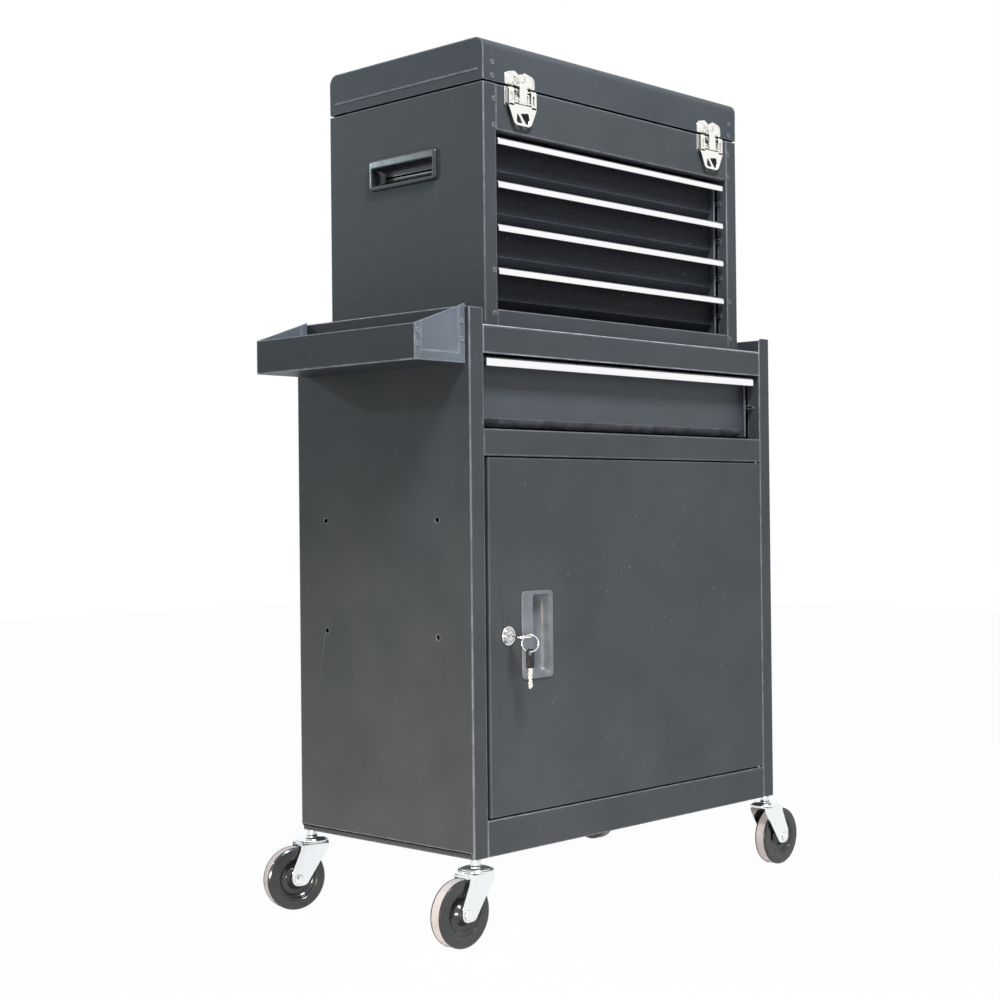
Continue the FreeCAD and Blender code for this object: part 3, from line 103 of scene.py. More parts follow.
def painted_edge_highlights(tree, place, folds, edge_highlight):
    """A painted highlight on edges and bends: near an edge by the edge amount, on a bend by folds."""
    # within about 2 mm of an edge the rounded normal leaves the sheet's own
    soft = add(tree, "Bevel", {"Radius": 2.2 * MM}, samples=4).outputs["Normal"]
    sheet = add(tree, "NewGeometry").outputs["Normal"]
    agree = add(tree, "VectorMath", {0: soft, 1: sheet}, operation="DOT_PRODUCT").outputs["Value"]
    edge = add(tree, "MapRange", {"Value": agree, "From Min": 0.92, "From Max": 0.998,
                                  "To Min": edge_highlight, "To Max": 0.0}).outputs["Result"]
    # in the middle of a bend the normal lies between two of the axes
    facing = add(tree, "TexCoord").outputs["Normal"]
    facing = add(tree, "VectorMath", {0: facing}, operation="ABSOLUTE").outputs["Vector"]
    facing = add(tree, "SeparateXYZ", {0: facing}).outputs
    most = add(tree, "Math", {0: facing[0], 1: facing[1]}, operation="MAXIMUM").outputs[0]
    most = add(tree, "Math", {0: most, 1: facing[2]}, operation="MAXIMUM").outputs[0]
    bend_highlight = add(tree, "MapRange", {"Value": most, "From Min": 0.74, "From Max": 0.93,
                                   "To Min": folds, "To Max": 0.0}).outputs["Result"]
    highlight_mask = add(tree, "Math", {0: edge, 1: bend_highlight}, operation="MAXIMUM").outputs[0]
    # the painted highlight is uneven, in patches 16 mm across
    wander = add(tree, "TexNoise", {"Vector": place, "Scale": 1 / (16 * MM), "Detail": 5.0}).outputs["Fac"]
    wander = add(tree, "MapRange", {"Value": wander, "From Min": 0.34, "From Max": 0.62,
                                    "To Min": 0.5, "To Max": 1.0}).outputs["Result"]
    return add(tree, "Math", {0: highlight_mask, 1: wander}, operation="MULTIPLY").outputs[0]


def powder_coat(name, tone, pale, highlight_paint, folds, edge_highlight, gloss=0.2):
    """Baked polyester powder: a satin skin that is cloudy with handling, with specks of dust
    and hairlines, and a pale thin painted highlight along its edges and folds."""
    material, tree, place = empty_material(name)
    # orange peel: real crests lie about 0.5 mm apart, drawn at 1.5 mm so that they show
    peel = add(tree, "TexNoise", {"Vector": place, "Scale": 1 / (1.5 * MM), "Detail": 2.0}).outputs["Fac"]
    # hand marks and dust film, 110 mm across
    cloud = add(tree, "TexNoise", {"Vector": place, "Scale": 1 / (110 * MM), "Detail": 4.0}).outputs["Fac"]
    haze = add(tree, "MapRange", {"Value": cloud, "From Min": 0.36, "From Max": 0.64}).outputs["Result"]
    grain = add(tree, "MapRange", {"Value": peel, "From Min": 0.4, "From Max": 0.75,
                                   "To Max": 0.14}).outputs["Result"]
    # film of handling, crests of the peel, hairlines, painted edge highlights and dust, from the coat
    # outwards
    layers = ((haze, pale), (grain, "#7d8287"), (hairlines(tree, place), "#9ea3a6"),
              (painted_edge_highlights(tree, place, folds, edge_highlight), highlight_paint), (dust_specks(tree, place), "#c6caca"))
    colour = linear(tone)
    for amount, paint in layers:
        colour = add(tree, "Mix", {0: amount, 6: colour, 7: linear(paint)}, data_type="RGBA").outputs[2]
    rough = add(tree, "MapRange", {"Value": cloud, "From Min": 0.3, "From Max": 0.7,
                                   "To Min": 0.44, "To Max": 0.54}).outputs["Result"]
    bump = add(tree, "Bump", {"Height": peel, "Strength": 0.12, "Distance": 0.15 * MM}).outputs["Normal"]
    shader = add(tree, "BsdfPrincipled", {"Base Color": colour, "Roughness": rough, "IOR": 1.5,
                                          "Specular IOR Level": gloss, "Normal": bump})
    add(tree, "OutputMaterial", {"Surface": shader.outputs[0]})
    return material


def ease(piece, width):
    """Rounds the sharp edges of a piece by a width in millimetres."""
    edges = piece.modifiers.new("edges", "BEVEL")
    edges.width = width * MM
    edges.segments = 2
    edges.limit_method = "ANGLE"
    edges.angle_limit = math.radians(40)
    return edges


def dress(node, material, fold):
    """A carried-over part keeps its shape and gets small rounded edges and its finish."""
    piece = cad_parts[node]
    piece.data.materials.clear()
    piece.data.materials.append(material)
    weld = piece.modifiers.new("weld", "WELD")
    weld.merge_threshold = 0.01 * MM
    ease(piece, fold).harden_normals = True


# the shell's coat paints a pale highlight along its edges and bends
charcoal = powder_coat("powder_coated_steel", "#46494a", "#515354", "#b9bcbd", 0.5, 0.85)
for node in SHELL:
    dress(node, charcoal, 0.35)

# Deck: the cabinet's top, one sheet folded down at the front to make the upper rail.
# Its front fold carries a pale painted highlight, and shows as a bright line.
highlit_charcoal = powder_coat("highlit_powder_coated_steel", "#46494a", "#515354", "#f4f6f7", 0.95, 1.0)
dress("base_deck", highlit_charcoal, 0.3)

# Seam shadow: a thin near-black strip set in the step where each side laps over the floor
# pan, as painted shadow in the joint. It is matt and a little lumpy.
CABINET_WIDE = 610
SEAM_LOW, SEAM_HIGH, SEAM_FRONT, SEAM_BACK = 5.7, 7.5, 1.5, 311
SEAM_THICK, SEAM_SINK = 0.8, 0.2


def seam_shadow_paint(name):
    """Painted shadow for the seam: near black, with a lump every 5 mm or so that catches no light."""
    material, tree, place = empty_material(name)
    lump = add(tree, "TexNoise", {"Vector": place, "Scale": 1 / (5 * MM), "Detail": 2.0}).outputs["Fac"]
    colour = add(tree, "Mix", {0: lump, 6: linear("#050506"), 7: linear("#141516")},
                 data_type="RGBA").outputs[2]
    bump = add(tree, "Bump", {"Height": lump, "Strength": 0.3, "Distance": 0.2 * MM}).outputs["Normal"]
    shader = add(tree, "BsdfPrincipled", {"Base Color": colour, "Roughness": 0.85, "IOR": 1.5,
                                          "Specular IOR Level": 0.1, "Normal": bump})
    add(tree, "OutputMaterial", {"Surface": shader.outputs[0]})
    return material


def rounded(points, steps=8):
    """An outline whose corners may carry a radius as a third value, in millimetres."""
    path = []
    count = len(points)
    for index, turn_at in enumerate(points):
        here = Vector(turn_at[:2])
        if len(turn_at) < 3:
            path.append(here)
            continue
        back = (Vector(points[index - 1][:2]) - here).normalized()
        ahead = (Vector(points[(index + 1) % count][:2]) - here).normalized()
        half = back.angle(ahead) / 2
        middle = here + (back + ahead).normalized() * (turn_at[2] / math.sin(half))
        reach = turn_at[2] / math.tan(half)
        first = here + back * reach - middle
        last = here + ahead * reach - middle
        turn = math.atan2(first.x * last.y - first.y * last.x, first.dot(last))
        for step in range(steps + 1):
            angle = turn * step / steps
            spun = Vector((first.x * math.cos(angle) - first.y * math.sin(angle),
                           first.x * math.sin(angle) + first.y * math.cos(angle)))
            path.append(middle + spun)
    return path


def spot(across, depth, up):
    """A point measured in millimetres from the lower front left corner of the cabinet."""
    return corner + Vector((across, depth, up)) * MM


def axes(across, up, out, origin):
    """The matrix that lays local X, Y, Z along three directions from an origin in metres."""
    matrix = Matrix((across, up, out)).transposed().to_4x4()
    matrix.translation = origin
    return matrix


def along_x(across, depth, up):
    """Local X runs along the depth, local Y up, local Z across the cabinet."""
    return axes((0, 1, 0), (0, 0, 1), (1, 0, 0), spot(across, depth, up))


def plate_mesh(loops, low, high, edge=0.0):
    """Closed outlines in millimetres extruded from low to high, with eased edges."""
    curve = bpy.data.curves.new("outline", "CURVE")
    curve.dimensions = "2D"
    curve.fill_mode = "BOTH"
    curve.extrude = ((high - low) / 2 - edge) * MM
    curve.bevel_depth = edge * MM
    curve.offset = -edge * MM
    curve.bevel_resolution = 2
    for loop in loops:
        spline = curve.splines.new("POLY")
        spline.points.add(len(loop) - 1)
        for point, place in zip(spline.points, loop):
            point.co = (place.x * MM, place.y * MM, 0, 1)
        spline.use_cyclic_u = True
    carrier = bpy.data.objects.new("outline", curve)
    mesh = bpy.data.meshes.new_from_object(carrier)
    bpy.data.objects.remove(carrier)
    bpy.data.curves.remove(curve)
    shape = bmesh.new()
    shape.from_mesh(mesh)
    bmesh.ops.translate(shape, verts=shape.verts, vec=(0, 0, (low + high) / 2 * MM))
    bmesh.ops.remove_doubles(shape, verts=shape.verts, dist=0.002 * MM)
    bmesh.ops.dissolve_degenerate(shape, dist=0.001 * MM, edges=shape.edges)
    bmesh.ops.recalc_face_normals(shape, faces=shape.faces)
    shape.to_mesh(mesh)
    shape.free()
    return mesh


def keep(name, meshes, matrix, material, body, *stand, wall=0.0, fold=0.0):
    """Puts one or more finished meshes in the scene as one piece on its body. A sheet that is
    drawn as a skin gets its wall, sharp edges may be eased, and flat faces shade flat."""
    shape = bmesh.new()
    for mesh in meshes:
        shape.from_mesh(mesh)
        bpy.data.meshes.remove(mesh)
    bmesh.ops.transform(shape, matrix=matrix, verts=shape.verts)
    whole = bpy.data.meshes.new(name)
    shape.to_mesh(whole)
    shape.free()
    whole.materials.append(material)
    whole.shade_smooth()
    whole.set_sharp_from_angle(angle=math.radians(32))
    piece = bpy.data.objects.new(name, whole)
    bpy.context.scene.collection.objects.link(piece)
    if wall:
        skin = piece.modifiers.new("wall", "SOLIDIFY")
        skin.thickness = wall * MM
        skin.offset = -1
        skin.use_even_offset = True
    if fold:
        ease(piece, fold)
    even = piece.modifiers.new("even", "WEIGHTED_NORMAL")
    even.keep_sharp = True
    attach(piece, body)
    if stand:
        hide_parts(*stand)


seam_shadow = seam_shadow_paint("painted_seam_shadow")
bead = rounded([(SEAM_FRONT, SEAM_LOW), (SEAM_BACK, SEAM_LOW), (SEAM_BACK, SEAM_HIGH),
                (SEAM_FRONT, SEAM_HIGH)])
for name, across in (("seam_shadow_left", SEAM_SINK), ("seam_shadow_right", CABINET_WIDE - SEAM_SINK - SEAM_THICK)):
    keep(name, [plate_mesh([bead], 0, SEAM_THICK, 0.2)], along_x(across, 0, 0), seam_shadow, "cabinet")


# Drawer slide channels, door pivot pins and caster stems: rolled and turned steel, zinc
# plated and clear passivated, so they read as a pale metal with a slightly blue gloss.
def plated(name, tone, pale, shiny, dull, cloud_mm):
    """Electroplated metal: bright and sharp in its reflections, with clouds of a duller gloss
    that handling has left, and painted shade darkening its corners and gaps."""
    material, tree, place = empty_material(name)
    cloud = add(tree, "TexNoise", {"Vector": place, "Scale": 1 / (cloud_mm * MM),
                                   "Detail": 3.0}).outputs["Fac"]
    # grain of the metal under the plate, about 0.3 mm, drawn at 0.6 mm so that it shows
    grain = add(tree, "TexNoise", {"Vector": place, "Scale": 1 / (0.6 * MM), "Detail": 1.0}).outputs["Fac"]
    colour = add(tree, "Mix", {0: cloud, 6: linear(tone), 7: linear(pale)}, data_type="RGBA").outputs[2]
    # painted shade in the gaps, up to 2.5 mm out of a corner
    crevice_shade = add(tree, "AmbientOcclusion", {"Distance": 2.5 * MM}, samples=4).outputs["AO"]
    crevice_shade = add(tree, "MapRange", {"Value": crevice_shade, "From Min": 0.45, "From Max": 0.8,
                                 "To Min": 0.85, "To Max": 0.0}).outputs["Result"]
    colour = add(tree, "Mix", {0: crevice_shade, 6: colour, 7: linear("#1b1c1f")}, data_type="RGBA").outputs[2]
    rough = add(tree, "MapRange", {"Value": cloud, "From Min": 0.3, "From Max": 0.7,
                                   "To Min": shiny, "To Max": dull}).outputs["Result"]
    bump = add(tree, "Bump", {"Height": grain, "Strength": 0.04, "Distance": 0.05 * MM}).outputs["Normal"]
    shader = add(tree, "BsdfPrincipled", {"Base Color": colour, "Metallic": 1.0, "Roughness": rough,
                                          "Normal": bump})
    add(tree, "OutputMaterial", {"Surface": shader.outputs[0]})
    return material


zinc = plated("zinc_plated_steel", "#dfe5e8", "#eef2f4", 0.2, 0.32, 8)
for node in ("base_slide_channels", "chest_slide_channels", "door_pivot_pins", "caster_stems"):
    dress(node, zinc, 0.15)

# Drawers: spot-welded boxes of the same sheet, each with a recessed face over a sloping
# lip, powder coated with the cabinet. The big drawer's lip carries a bright, bluish painted
# highlight; the chest's fronts are painted near black, as painted shade under their handles.
DRAWERS = ("base_drawer", "chest_drawer_1", "chest_drawer_2", "chest_drawer_3", "chest_drawer_4")
drawer_charcoal = powder_coat("drawer_powder_coat", "#4d5154", "#575b5e", "#f2f6ff", 1.0, 0.3, 0.4)
shaded_drawer_charcoal = powder_coat("chest_drawer_painted_shade_coat", "#27292c", "#303236", "#8f98a8", 0.0, 0.75, 0.1)
for drawer in DRAWERS:
    dress(drawer + "_box", charcoal, 0.2)
    dress(drawer + "_front", drawer_charcoal if drawer == "base_drawer" else shaded_drawer_charcoal, 0.3)


# Drawer handles: one aluminium extrusion the full width of each drawer, satin anodised,
# rolled over the front edge and hollow underneath for the fingers.
def anodised(name):
    """Extruded and anodised aluminium: drawn lines along the bar under a pale satin gloss."""
    material, tree, place = empty_material(name)
    # drawn lines 0.1 mm apart, drawn at 0.5 mm so that they show
    lines = add(tree, "Mapping", {"Vector": place, "Scale": (1.0, 1 / (0.5 * MM), 1 / (0.5 * MM))})
    grain = add(tree, "TexNoise", {"Vector": lines.outputs["Vector"], "Scale": 1.0,
                                   "Detail": 2.0}).outputs["Fac"]
    # finger marks, 50 mm across
    cloud = add(tree, "TexNoise", {"Vector": place, "Scale": 1 / (50 * MM)}).outputs["Fac"]
    colour = add(tree, "Mix", {0: cloud, 6: linear("#f6f7f8"), 7: linear("#fefefe")},
                 data_type="RGBA").outputs[2]
    rough = add(tree, "MapRange", {"Value": grain, "From Min": 0.3, "From Max": 0.7,
                                   "To Min": 0.24, "To Max": 0.36}).outputs["Result"]
    bump = add(tree, "Bump", {"Height": grain, "Strength": 0.05, "Distance": 0.05 * MM}).outputs["Normal"]
    shader = add(tree, "BsdfPrincipled", {"Base Color": colour, "Metallic": 1.0, "Roughness": rough,
                                          "Normal": bump})
    add(tree, "OutputMaterial", {"Surface": shader.outputs[0]})
    return material


HANDLE_WALL, HOOK_DEEP, HOOK_THICK, BASE_NOSE_R, CHEST_NOSE_R = 1.8, 3, 1.2, 5, 4
aluminium = anodised("anodised_aluminium")
for drawer in DRAWERS:
    low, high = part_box(drawer + "_handle")
    wide, deep, tall = (high - low) / MM
    nose = BASE_NOSE_R if drawer == "base_drawer" else CHEST_NOSE_R
    under = tall - HANDLE_WALL
    section = rounded([(deep, tall), (0, tall, nose), (0, 0, 0.8), (HOOK_DEEP, 0, 0.4),
                       (HOOK_DEEP, HOOK_THICK), (HANDLE_WALL, HOOK_THICK),
                       (HANDLE_WALL, under, nose - HANDLE_WALL), (deep, under)], 12)
    lay = axes((0, 1, 0), (0, 0, 1), (1, 0, 0), low)
    keep(drawer + "_handle_bar", [plate_mesh([section], 0, wide, 0.25)], lay, aluminium,
         drawer, drawer + "_handle")

# Top chest: folded sides, back, bottom, top rail and till floor, spot-welded and coated
# like the cabinet.
CHEST = ("chest_left_side", "chest_right_side", "chest_back", "chest_bottom", "chest_top_rail",
         "chest_till_floor")
for node in CHEST:
    dress(node, charcoal, 0.35)

# Lid: one drawn sheet with long edges of 13 mm radius, its ends turned down and welded,
# open underneath. A rolled bead stiffens each end just above the joint.
LID_GAP, LID_TALL, LID_ROUND, LID_EDGE = 2.0, 54.4, 13, 0.6
BEAD_OUT, BEAD_SINK, BEAD_UP, BEAD_WIDE, BEAD_IN, BEAD_ROUND = 0.6, 0.4, 14.5, 2.4, 9.4, 1.1
# its coat reads a little cooler than the shell's, with a pale painted highlight along its edges but none on
# its bends
lid_charcoal = powder_coat("lid_powder_coat", "#464a4c", "#505456", "#c0c4c6", 0.0, 0.9)
low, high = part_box("lid_cover")
end_low, end_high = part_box("lid_ends")
# the cover stops LID_GAP above the chest, which leaves the dark joint between them
left, front, foot = (Vector((end_low.x, low.y, low.z)) - corner) / MM + Vector((BEAD_OUT, 0, LID_GAP))
right, back, crown = (Vector((end_high.x, high.y, high.z)) - corner) / MM - Vector((BEAD_OUT, 0, 0))
arch = rounded([(front, foot), (front, crown, LID_ROUND), (back, crown, LID_ROUND), (back, foot)], 14)
shape = bmesh.new()
rings = [[shape.verts.new(spot(x, *point)) for point in arch] for x in (left, right)]
for index in range(len(arch) - 1):
    shape.faces.new((rings[0][index], rings[0][index + 1], rings[1][index + 1], rings[1][index]))
ends = [shape.faces.new(rings[0][::-1]), shape.faces.new(rings[1])]
above_foot = corner.z + (foot + 0.01) * MM
folds = {edge for face in ends for edge in face.edges
         if max(vert.co.z for vert in edge.verts) > above_foot}
bmesh.ops.bevel(shape, geom=list(folds), offset=LID_EDGE * MM, segments=3, affect="EDGES", profile=0.5)
bottom = [face for face in shape.faces if all(vert.co.z < above_foot for vert in face.verts)]
bmesh.ops.delete(shape, geom=bottom, context="FACES_ONLY")
bmesh.ops.recalc_face_normals(shape, faces=shape.faces)
mesh = bpy.data.meshes.new("lid_sheet")
shape.to_mesh(mesh)
shape.free()
keep("lid_shell", [mesh], Matrix.Identity(4), lid_charcoal, "lid", "lid_cover", "lid_ends", wall=1.0)
bead_low = crown - LID_TALL + BEAD_UP
bead_high = bead_low + BEAD_WIDE
bead = rounded([(front + BEAD_IN, bead_low, BEAD_ROUND), (back - BEAD_IN, bead_low, BEAD_ROUND),
                (back - BEAD_IN, bead_high, BEAD_ROUND), (front + BEAD_IN, bead_high, BEAD_ROUND)], 4)
for name, across in (("left", left - BEAD_OUT), ("right", right - BEAD_SINK)):
    keep("lid_bead_" + name, [plate_mesh([bead], 0, BEAD_OUT + BEAD_SINK, 0.4)], along_x(across, 0, 0),
         lid_charcoal, "lid")

# Lid hinges: two steel leaves each side of a rolled knuckle, welded on and coated with
# the chest.
for node in ("lid_hinge_lower_leaves", "lid_hinge_upper_leaves"):
    dress(node, charcoal, 0.2)

# Door: a folded pan of the same steel, which takes the pull and the lock. It hangs on two
# pivot pins, and the pale painted highlight along its edges is fainter than the shell's.
door_charcoal = powder_coat("door_powder_coat", "#484b4c", "#535556", "#8e9294", 0.0, 0.45)
dress("door_panel", door_charcoal, 0.3)

# Side tray: a folded trough with a hook, its end plates spot-welded behind its flanges.
# It hangs nearest the lamps, and its edges carry a bright painted highlight.
tray_charcoal = powder_coat("tray_powder_coat", "#36383a", "#404244", "#eef0f1", 0.8, 0.95)
dress("tray_pan", tray_charcoal, 0.25)

# Tray ends: a plate pressed with a mitred frame, so that it lies flush inside the trough's
# flanges. The press leaves fine dark grooves at the mitres. The plates take the most light:
# their coat is painted paler than the shell's, as painted light, with pale painted edge highlights.
OUT, IN, FOOT = -81.7, -0.7, 583.8
SIDE, SILL, GROOVE = 9.4, 11.4, 0.35
TOP_OUT, TOP_IN = 625.4, 653.7
TRAY_FRONT, TRAY_BACK = 7, 293
PLATE_BACK, FRAME_PROUD, MIDDLE_PROUD = -1.4, 0.4, 0.1
lit_end_charcoal = powder_coat("tray_end_painted_light_coat", "#6a7075", "#80878c", "#d4d9dc", 0.0, 0.55, 0.3)


def top(across):
    """Height of the sloping top edge of a tray end."""
    return TOP_OUT + (TOP_IN - TOP_OUT) * (across - OUT) / (IN - OUT)


outer, inner = OUT + SIDE, IN - SIDE
middle_out, middle_in = outer + 2 * GROOVE, inner - 2 * GROOVE
sill_top, middle_foot = FOOT + SILL - GROOVE, FOOT + SILL + GROOVE
outer_strip = ((OUT, FOOT + 2 * GROOVE), (outer, middle_foot), (outer, top(outer)), (OUT, top(OUT)))
sill_strip = ((OUT + 2 * GROOVE, FOOT), (IN - 2 * GROOVE, FOOT), (inner - GROOVE, sill_top),
              (outer + GROOVE, sill_top))
inner_strip = ((IN, FOOT + 2 * GROOVE), (IN, top(IN)), (inner, top(inner)), (inner, middle_foot))
middle_plate = ((middle_out, middle_foot), (middle_in, middle_foot), (middle_in, top(middle_in)),
                (middle_out, top(middle_out)))
FRAME_PLATES = ((outer_strip, FRAME_PROUD), (sill_strip, FRAME_PROUD), (inner_strip, FRAME_PROUD),
                (middle_plate, MIDDLE_PROUD))
for name, depth, sense in (("front", TRAY_FRONT, -1), ("back", TRAY_BACK, 1)):
    lay = axes((1, 0, 0), (0, 0, 1), (0, sense, 0), spot(0, depth, 0))
    plates = [plate_mesh([rounded(outline)], PLATE_BACK, proud, 0.12) for outline, proud in FRAME_PLATES]
    keep("tray_end_" + name, plates, lay, lit_end_charcoal, "tray", "tray_ends")


# Spot welds: where two sheets are joined behind a flange, the electrode leaves a low
# ring 8 mm across with a dimple in it, and the powder covers both.
def lathe_mesh(profile, steps, closed=False):
    """A shape turned round local Z from (radius, height) points in millimetres."""
    shape = bmesh.new()
    rings = []
    for radius, height in profile:
        if radius < 0.001:
            rings.append([shape.verts.new((0, 0, height * MM))] * steps)
            continue
        turns = [2 * math.pi * k / steps for k in range(steps)]
        rings.append([shape.verts.new((radius * math.cos(t) * MM, radius * math.sin(t) * MM, height * MM))
                      for t in turns])
    pairs = list(zip(rings, rings[1:]))
    if closed:
        pairs.append((rings[-1], rings[0]))
    for first, last in pairs:
        for k in range(steps):
            around = [first[k], first[(k + 1) % steps], last[(k + 1) % steps], last[k]]
            shape.faces.new(list(dict.fromkeys(around)))
    bmesh.ops.recalc_face_normals(shape, faces=shape.faces)
    mesh = bpy.data.meshes.new("turned")
    shape.to_mesh(mesh)
    shape.free()
    return mesh


def facing_front(across, depth, up):
    """Local X runs across the cabinet, local Y up, local Z towards the viewer."""
    return axes((1, 0, 0), (0, 0, 1), (0, -1, 0), spot(across, depth, up))


WELD = [(0, 0.05), (1.1, 0.15), (1.9, 0.65), (2.5, 0.85), (3.1, 0.7), (3.8, 0.15), (4.2, -0.1)]
CHEST_FRONT = 19.6
WELDS = (("lid", lid_charcoal, CHEST_FRONT,
          ((64.3, 951.6), (64, 935.2), (546, 951.6), (546, 935.2))),
         ("chest", charcoal, CHEST_FRONT,
          ((67.1, 907.7), (66.6, 875.8), (66, 700), (65, 648),
           (543, 907.7), (543, 875.8), (544, 700), (545, 648))),
         ("tray", lit_end_charcoal, TRAY_FRONT - FRAME_PROUD,
          ((-77.4, 617.2), (-77.6, 601.5), (-5.6, 632.1), (-5.4, 611.5))))
for body, coat, depth, places in WELDS:
    for number, (across, up) in enumerate(places, 1):
        keep("%s_weld_%d" % (body, number), [lathe_mesh(WELD, 24)], facing_front(across, depth, up), coat,
             body)


# Side grips: moulded black ABS, a broad rim round a scooped cup for the fingers, pressed
# into the chest side. The skin is satin, so the rim reads grey and the cup holds soft highlights.
def moulded(name, tone, pale, shiny, dull, grit_mm, strength, gloss):
    """Moulded plastic or rubber: one colour all through, a fine grain from the mould, and
    paler scuffs where it has been handled."""
    material, tree, place = empty_material(name)
    # grain of the mould's skin, 0.1 to 0.3 mm, drawn at about 1 mm so that it shows
    grit = add(tree, "TexNoise", {"Vector": place, "Scale": 1 / (grit_mm * MM),
                                  "Detail": 2.0}).outputs["Fac"]
    # scuffs, 25 mm across
    cloud = add(tree, "TexNoise", {"Vector": place, "Scale": 1 / (25 * MM), "Detail": 2.0}).outputs["Fac"]
    scuff = add(tree, "MapRange", {"Value": cloud, "From Min": 0.35, "From Max": 0.7}).outputs["Result"]
    colour = add(tree, "Mix", {0: scuff, 6: linear(tone), 7: linear(pale)}, data_type="RGBA").outputs[2]
    rough = add(tree, "MapRange", {"Value": cloud, "From Min": 0.3, "From Max": 0.7,
                                   "To Min": shiny, "To Max": dull}).outputs["Result"]
    bump = add(tree, "Bump", {"Height": grit, "Strength": strength, "Distance": 0.1 * MM}).outputs["Normal"]
    shader = add(tree, "BsdfPrincipled", {"Base Color": colour, "Roughness": rough, "IOR": 1.54,
                                          "Specular IOR Level": gloss, "Normal": bump})
    add(tree, "OutputMaterial", {"Surface": shader.outputs[0]})
    return material


def cup_mesh(stations, flip=False):
    """A moulding lofted through rounded rectangles: (low x, high x, low y, high y, radius,
    height) in millimetres, closed at the last one."""
    shape = bmesh.new()
    rings = []
    for low_x, high_x, low_y, high_y, radius, height in stations:
        ring = rounded([(low_x, low_y, radius), (high_x, low_y, radius),
                        (high_x, high_y, radius), (low_x, high_y, radius)], 6)
        rings.append([shape.verts.new((p.x * MM, p.y * MM, height * MM)) for p in ring])
    count = len(rings[0])
    for first, last in zip(rings, rings[1:]):
        for k in range(count):
            shape.faces.new((first[k], first[(k + 1) % count], last[(k + 1) % count], last[k]))
    shape.faces.new(rings[-1])
    bmesh.ops.recalc_face_normals(shape, faces=shape.faces)
    if flip:
        bmesh.ops.reverse_faces(shape, faces=shape.faces)
    mesh = bpy.data.meshes.new("moulding")
    shape.to_mesh(mesh)
    shape.free()
    return mesh


GRIP_LONG, GRIP_TALL, GRIP_Y, GRIP_Z, GRIP_LEFT, GRIP_RIGHT = 119.5, 37, 99.5, 820, 48, 562
satin_abs = moulded("satin_black_abs", "#2e3134", "#3a3d41", 0.22, 0.34, 0.8, 0.05, 0.6)
RIM_TOP, RIM_LOW, RIM_END = 9, 3, 3.8
grip = []
for inset, height in ((0, 0), (0, 2.0), (0.35, 3.1), (1.1, 3.8), (2.0, 4.0)):
    grip.append((inset, GRIP_LONG - inset, inset, GRIP_TALL - inset, 4 - inset * 0.6, height))
for inset, height, radius in ((-0.6, 4.0, 2.6), (0, 3.5, 2.2), (0.3, 2.4, 2.2), (0.5, -4, 3), (2, -9, 5),
                              (5, -12.4, 7), (9.5, -13.8, 4)):
    grip.append((RIM_END + inset, GRIP_LONG - RIM_END - inset, RIM_LOW + inset,
                 GRIP_TALL - RIM_TOP - inset, radius, height))
for name, across, sense in (("side_grip_left", GRIP_LEFT, -1), ("side_grip_right", GRIP_RIGHT, 1)):
    lay = axes((0, 1, 0), (0, 0, 1), (sense, 0, 0), spot(across, GRIP_Y, GRIP_Z))
    keep(name, [cup_mesh(grip, sense > 0)], lay, satin_abs, "chest", "chest_side_grips", wall=1.0)

# Door pull: moulded grey ABS, a cup snapped into the door whose long left side is a broad
# lip to pull on, undercut behind. Satin, and worn to a dull shine where fingers go.
grey_abs = moulded("grey_abs", "#75787b", "#8b8e91", 0.36, 0.46, 0.9, 0.1, 0.5)
PULL_X, PULL_Z, PULL_WIDE, PULL_TALL = 85, 205, 56, 107
pull = []
for inset, height in ((0, 0), (0, 0.7), (0.3, 1.4), (0.9, 1.85), (1.8, 2.0)):
    pull.append((inset, PULL_WIDE - inset, inset, PULL_TALL - inset, 6 - inset * 0.5, height))
pull += [(18.2, 49.8, 4.4, 102.6, 5, 2.0), (19, 49, 5, 102, 4.6, 1.5), (19.2, 48.6, 5.4, 101.6, 4.6, 0.4),
         (18, 48, 6, 101, 5, -2.0), (11, 47.4, 7, 100, 6, -4.4), (7, 47, 8, 99, 6, -6.5),
         (6.4, 45.5, 10, 97, 7, -9.5), (8, 42.5, 13, 94, 6, -11.4), (11, 38.5, 17, 90, 4, -12.0)]
keep("door_pull_cup", [cup_mesh(pull)], facing_front(PULL_X, 0, PULL_Z), grey_abs, "door", "door_pull",
     wall=1.2)

# Lock: a die-cast barrel with a flared bezel and a nut behind the door, chromed; its plug
# turns with the key and carries a flat cam. Both are polished, with dark reflections.
LOCK_X, LOCK_Z, NUT_R, BARREL_R = 61, 259.6, 13, 8.9


def circle(radius, start=0, stop=360, step=10, across=0.0, up=0.0):
    """Points round a circle or an arc, at every so many degrees."""
    angles = [math.radians(degrees) for degrees in range(start, stop, step)]
    return [Vector((across + radius * math.cos(a), up + radius * math.sin(a))) for a in angles]


chrome = plated("chromed_brass", "#d5d6d6", "#e9e9e8", 0.06, 0.14, 5)
bezel = rounded([(6.1, -21.5), (9, -21.5), (9, 0), (11.6, 0, 0.3), (11.6, 1.6, 0.7), (9.4, 2.4, 0.6),
                 (8.9, 4.5, 0.8), (7.2, 4.5, 0.5), (6.8, 3.4, 0.3), (6.1, 3.4)], 5)
nut = plate_mesh([circle(NUT_R, step=60), circle(BARREL_R)], -5, -1.2, 0.4)
keep("lock_bezel", [lathe_mesh(bezel, 64, True), nut], facing_front(LOCK_X, 0, LOCK_Z), chrome, "door",
     "lock_barrel")
dress("lock_plug", chrome, 0.3)

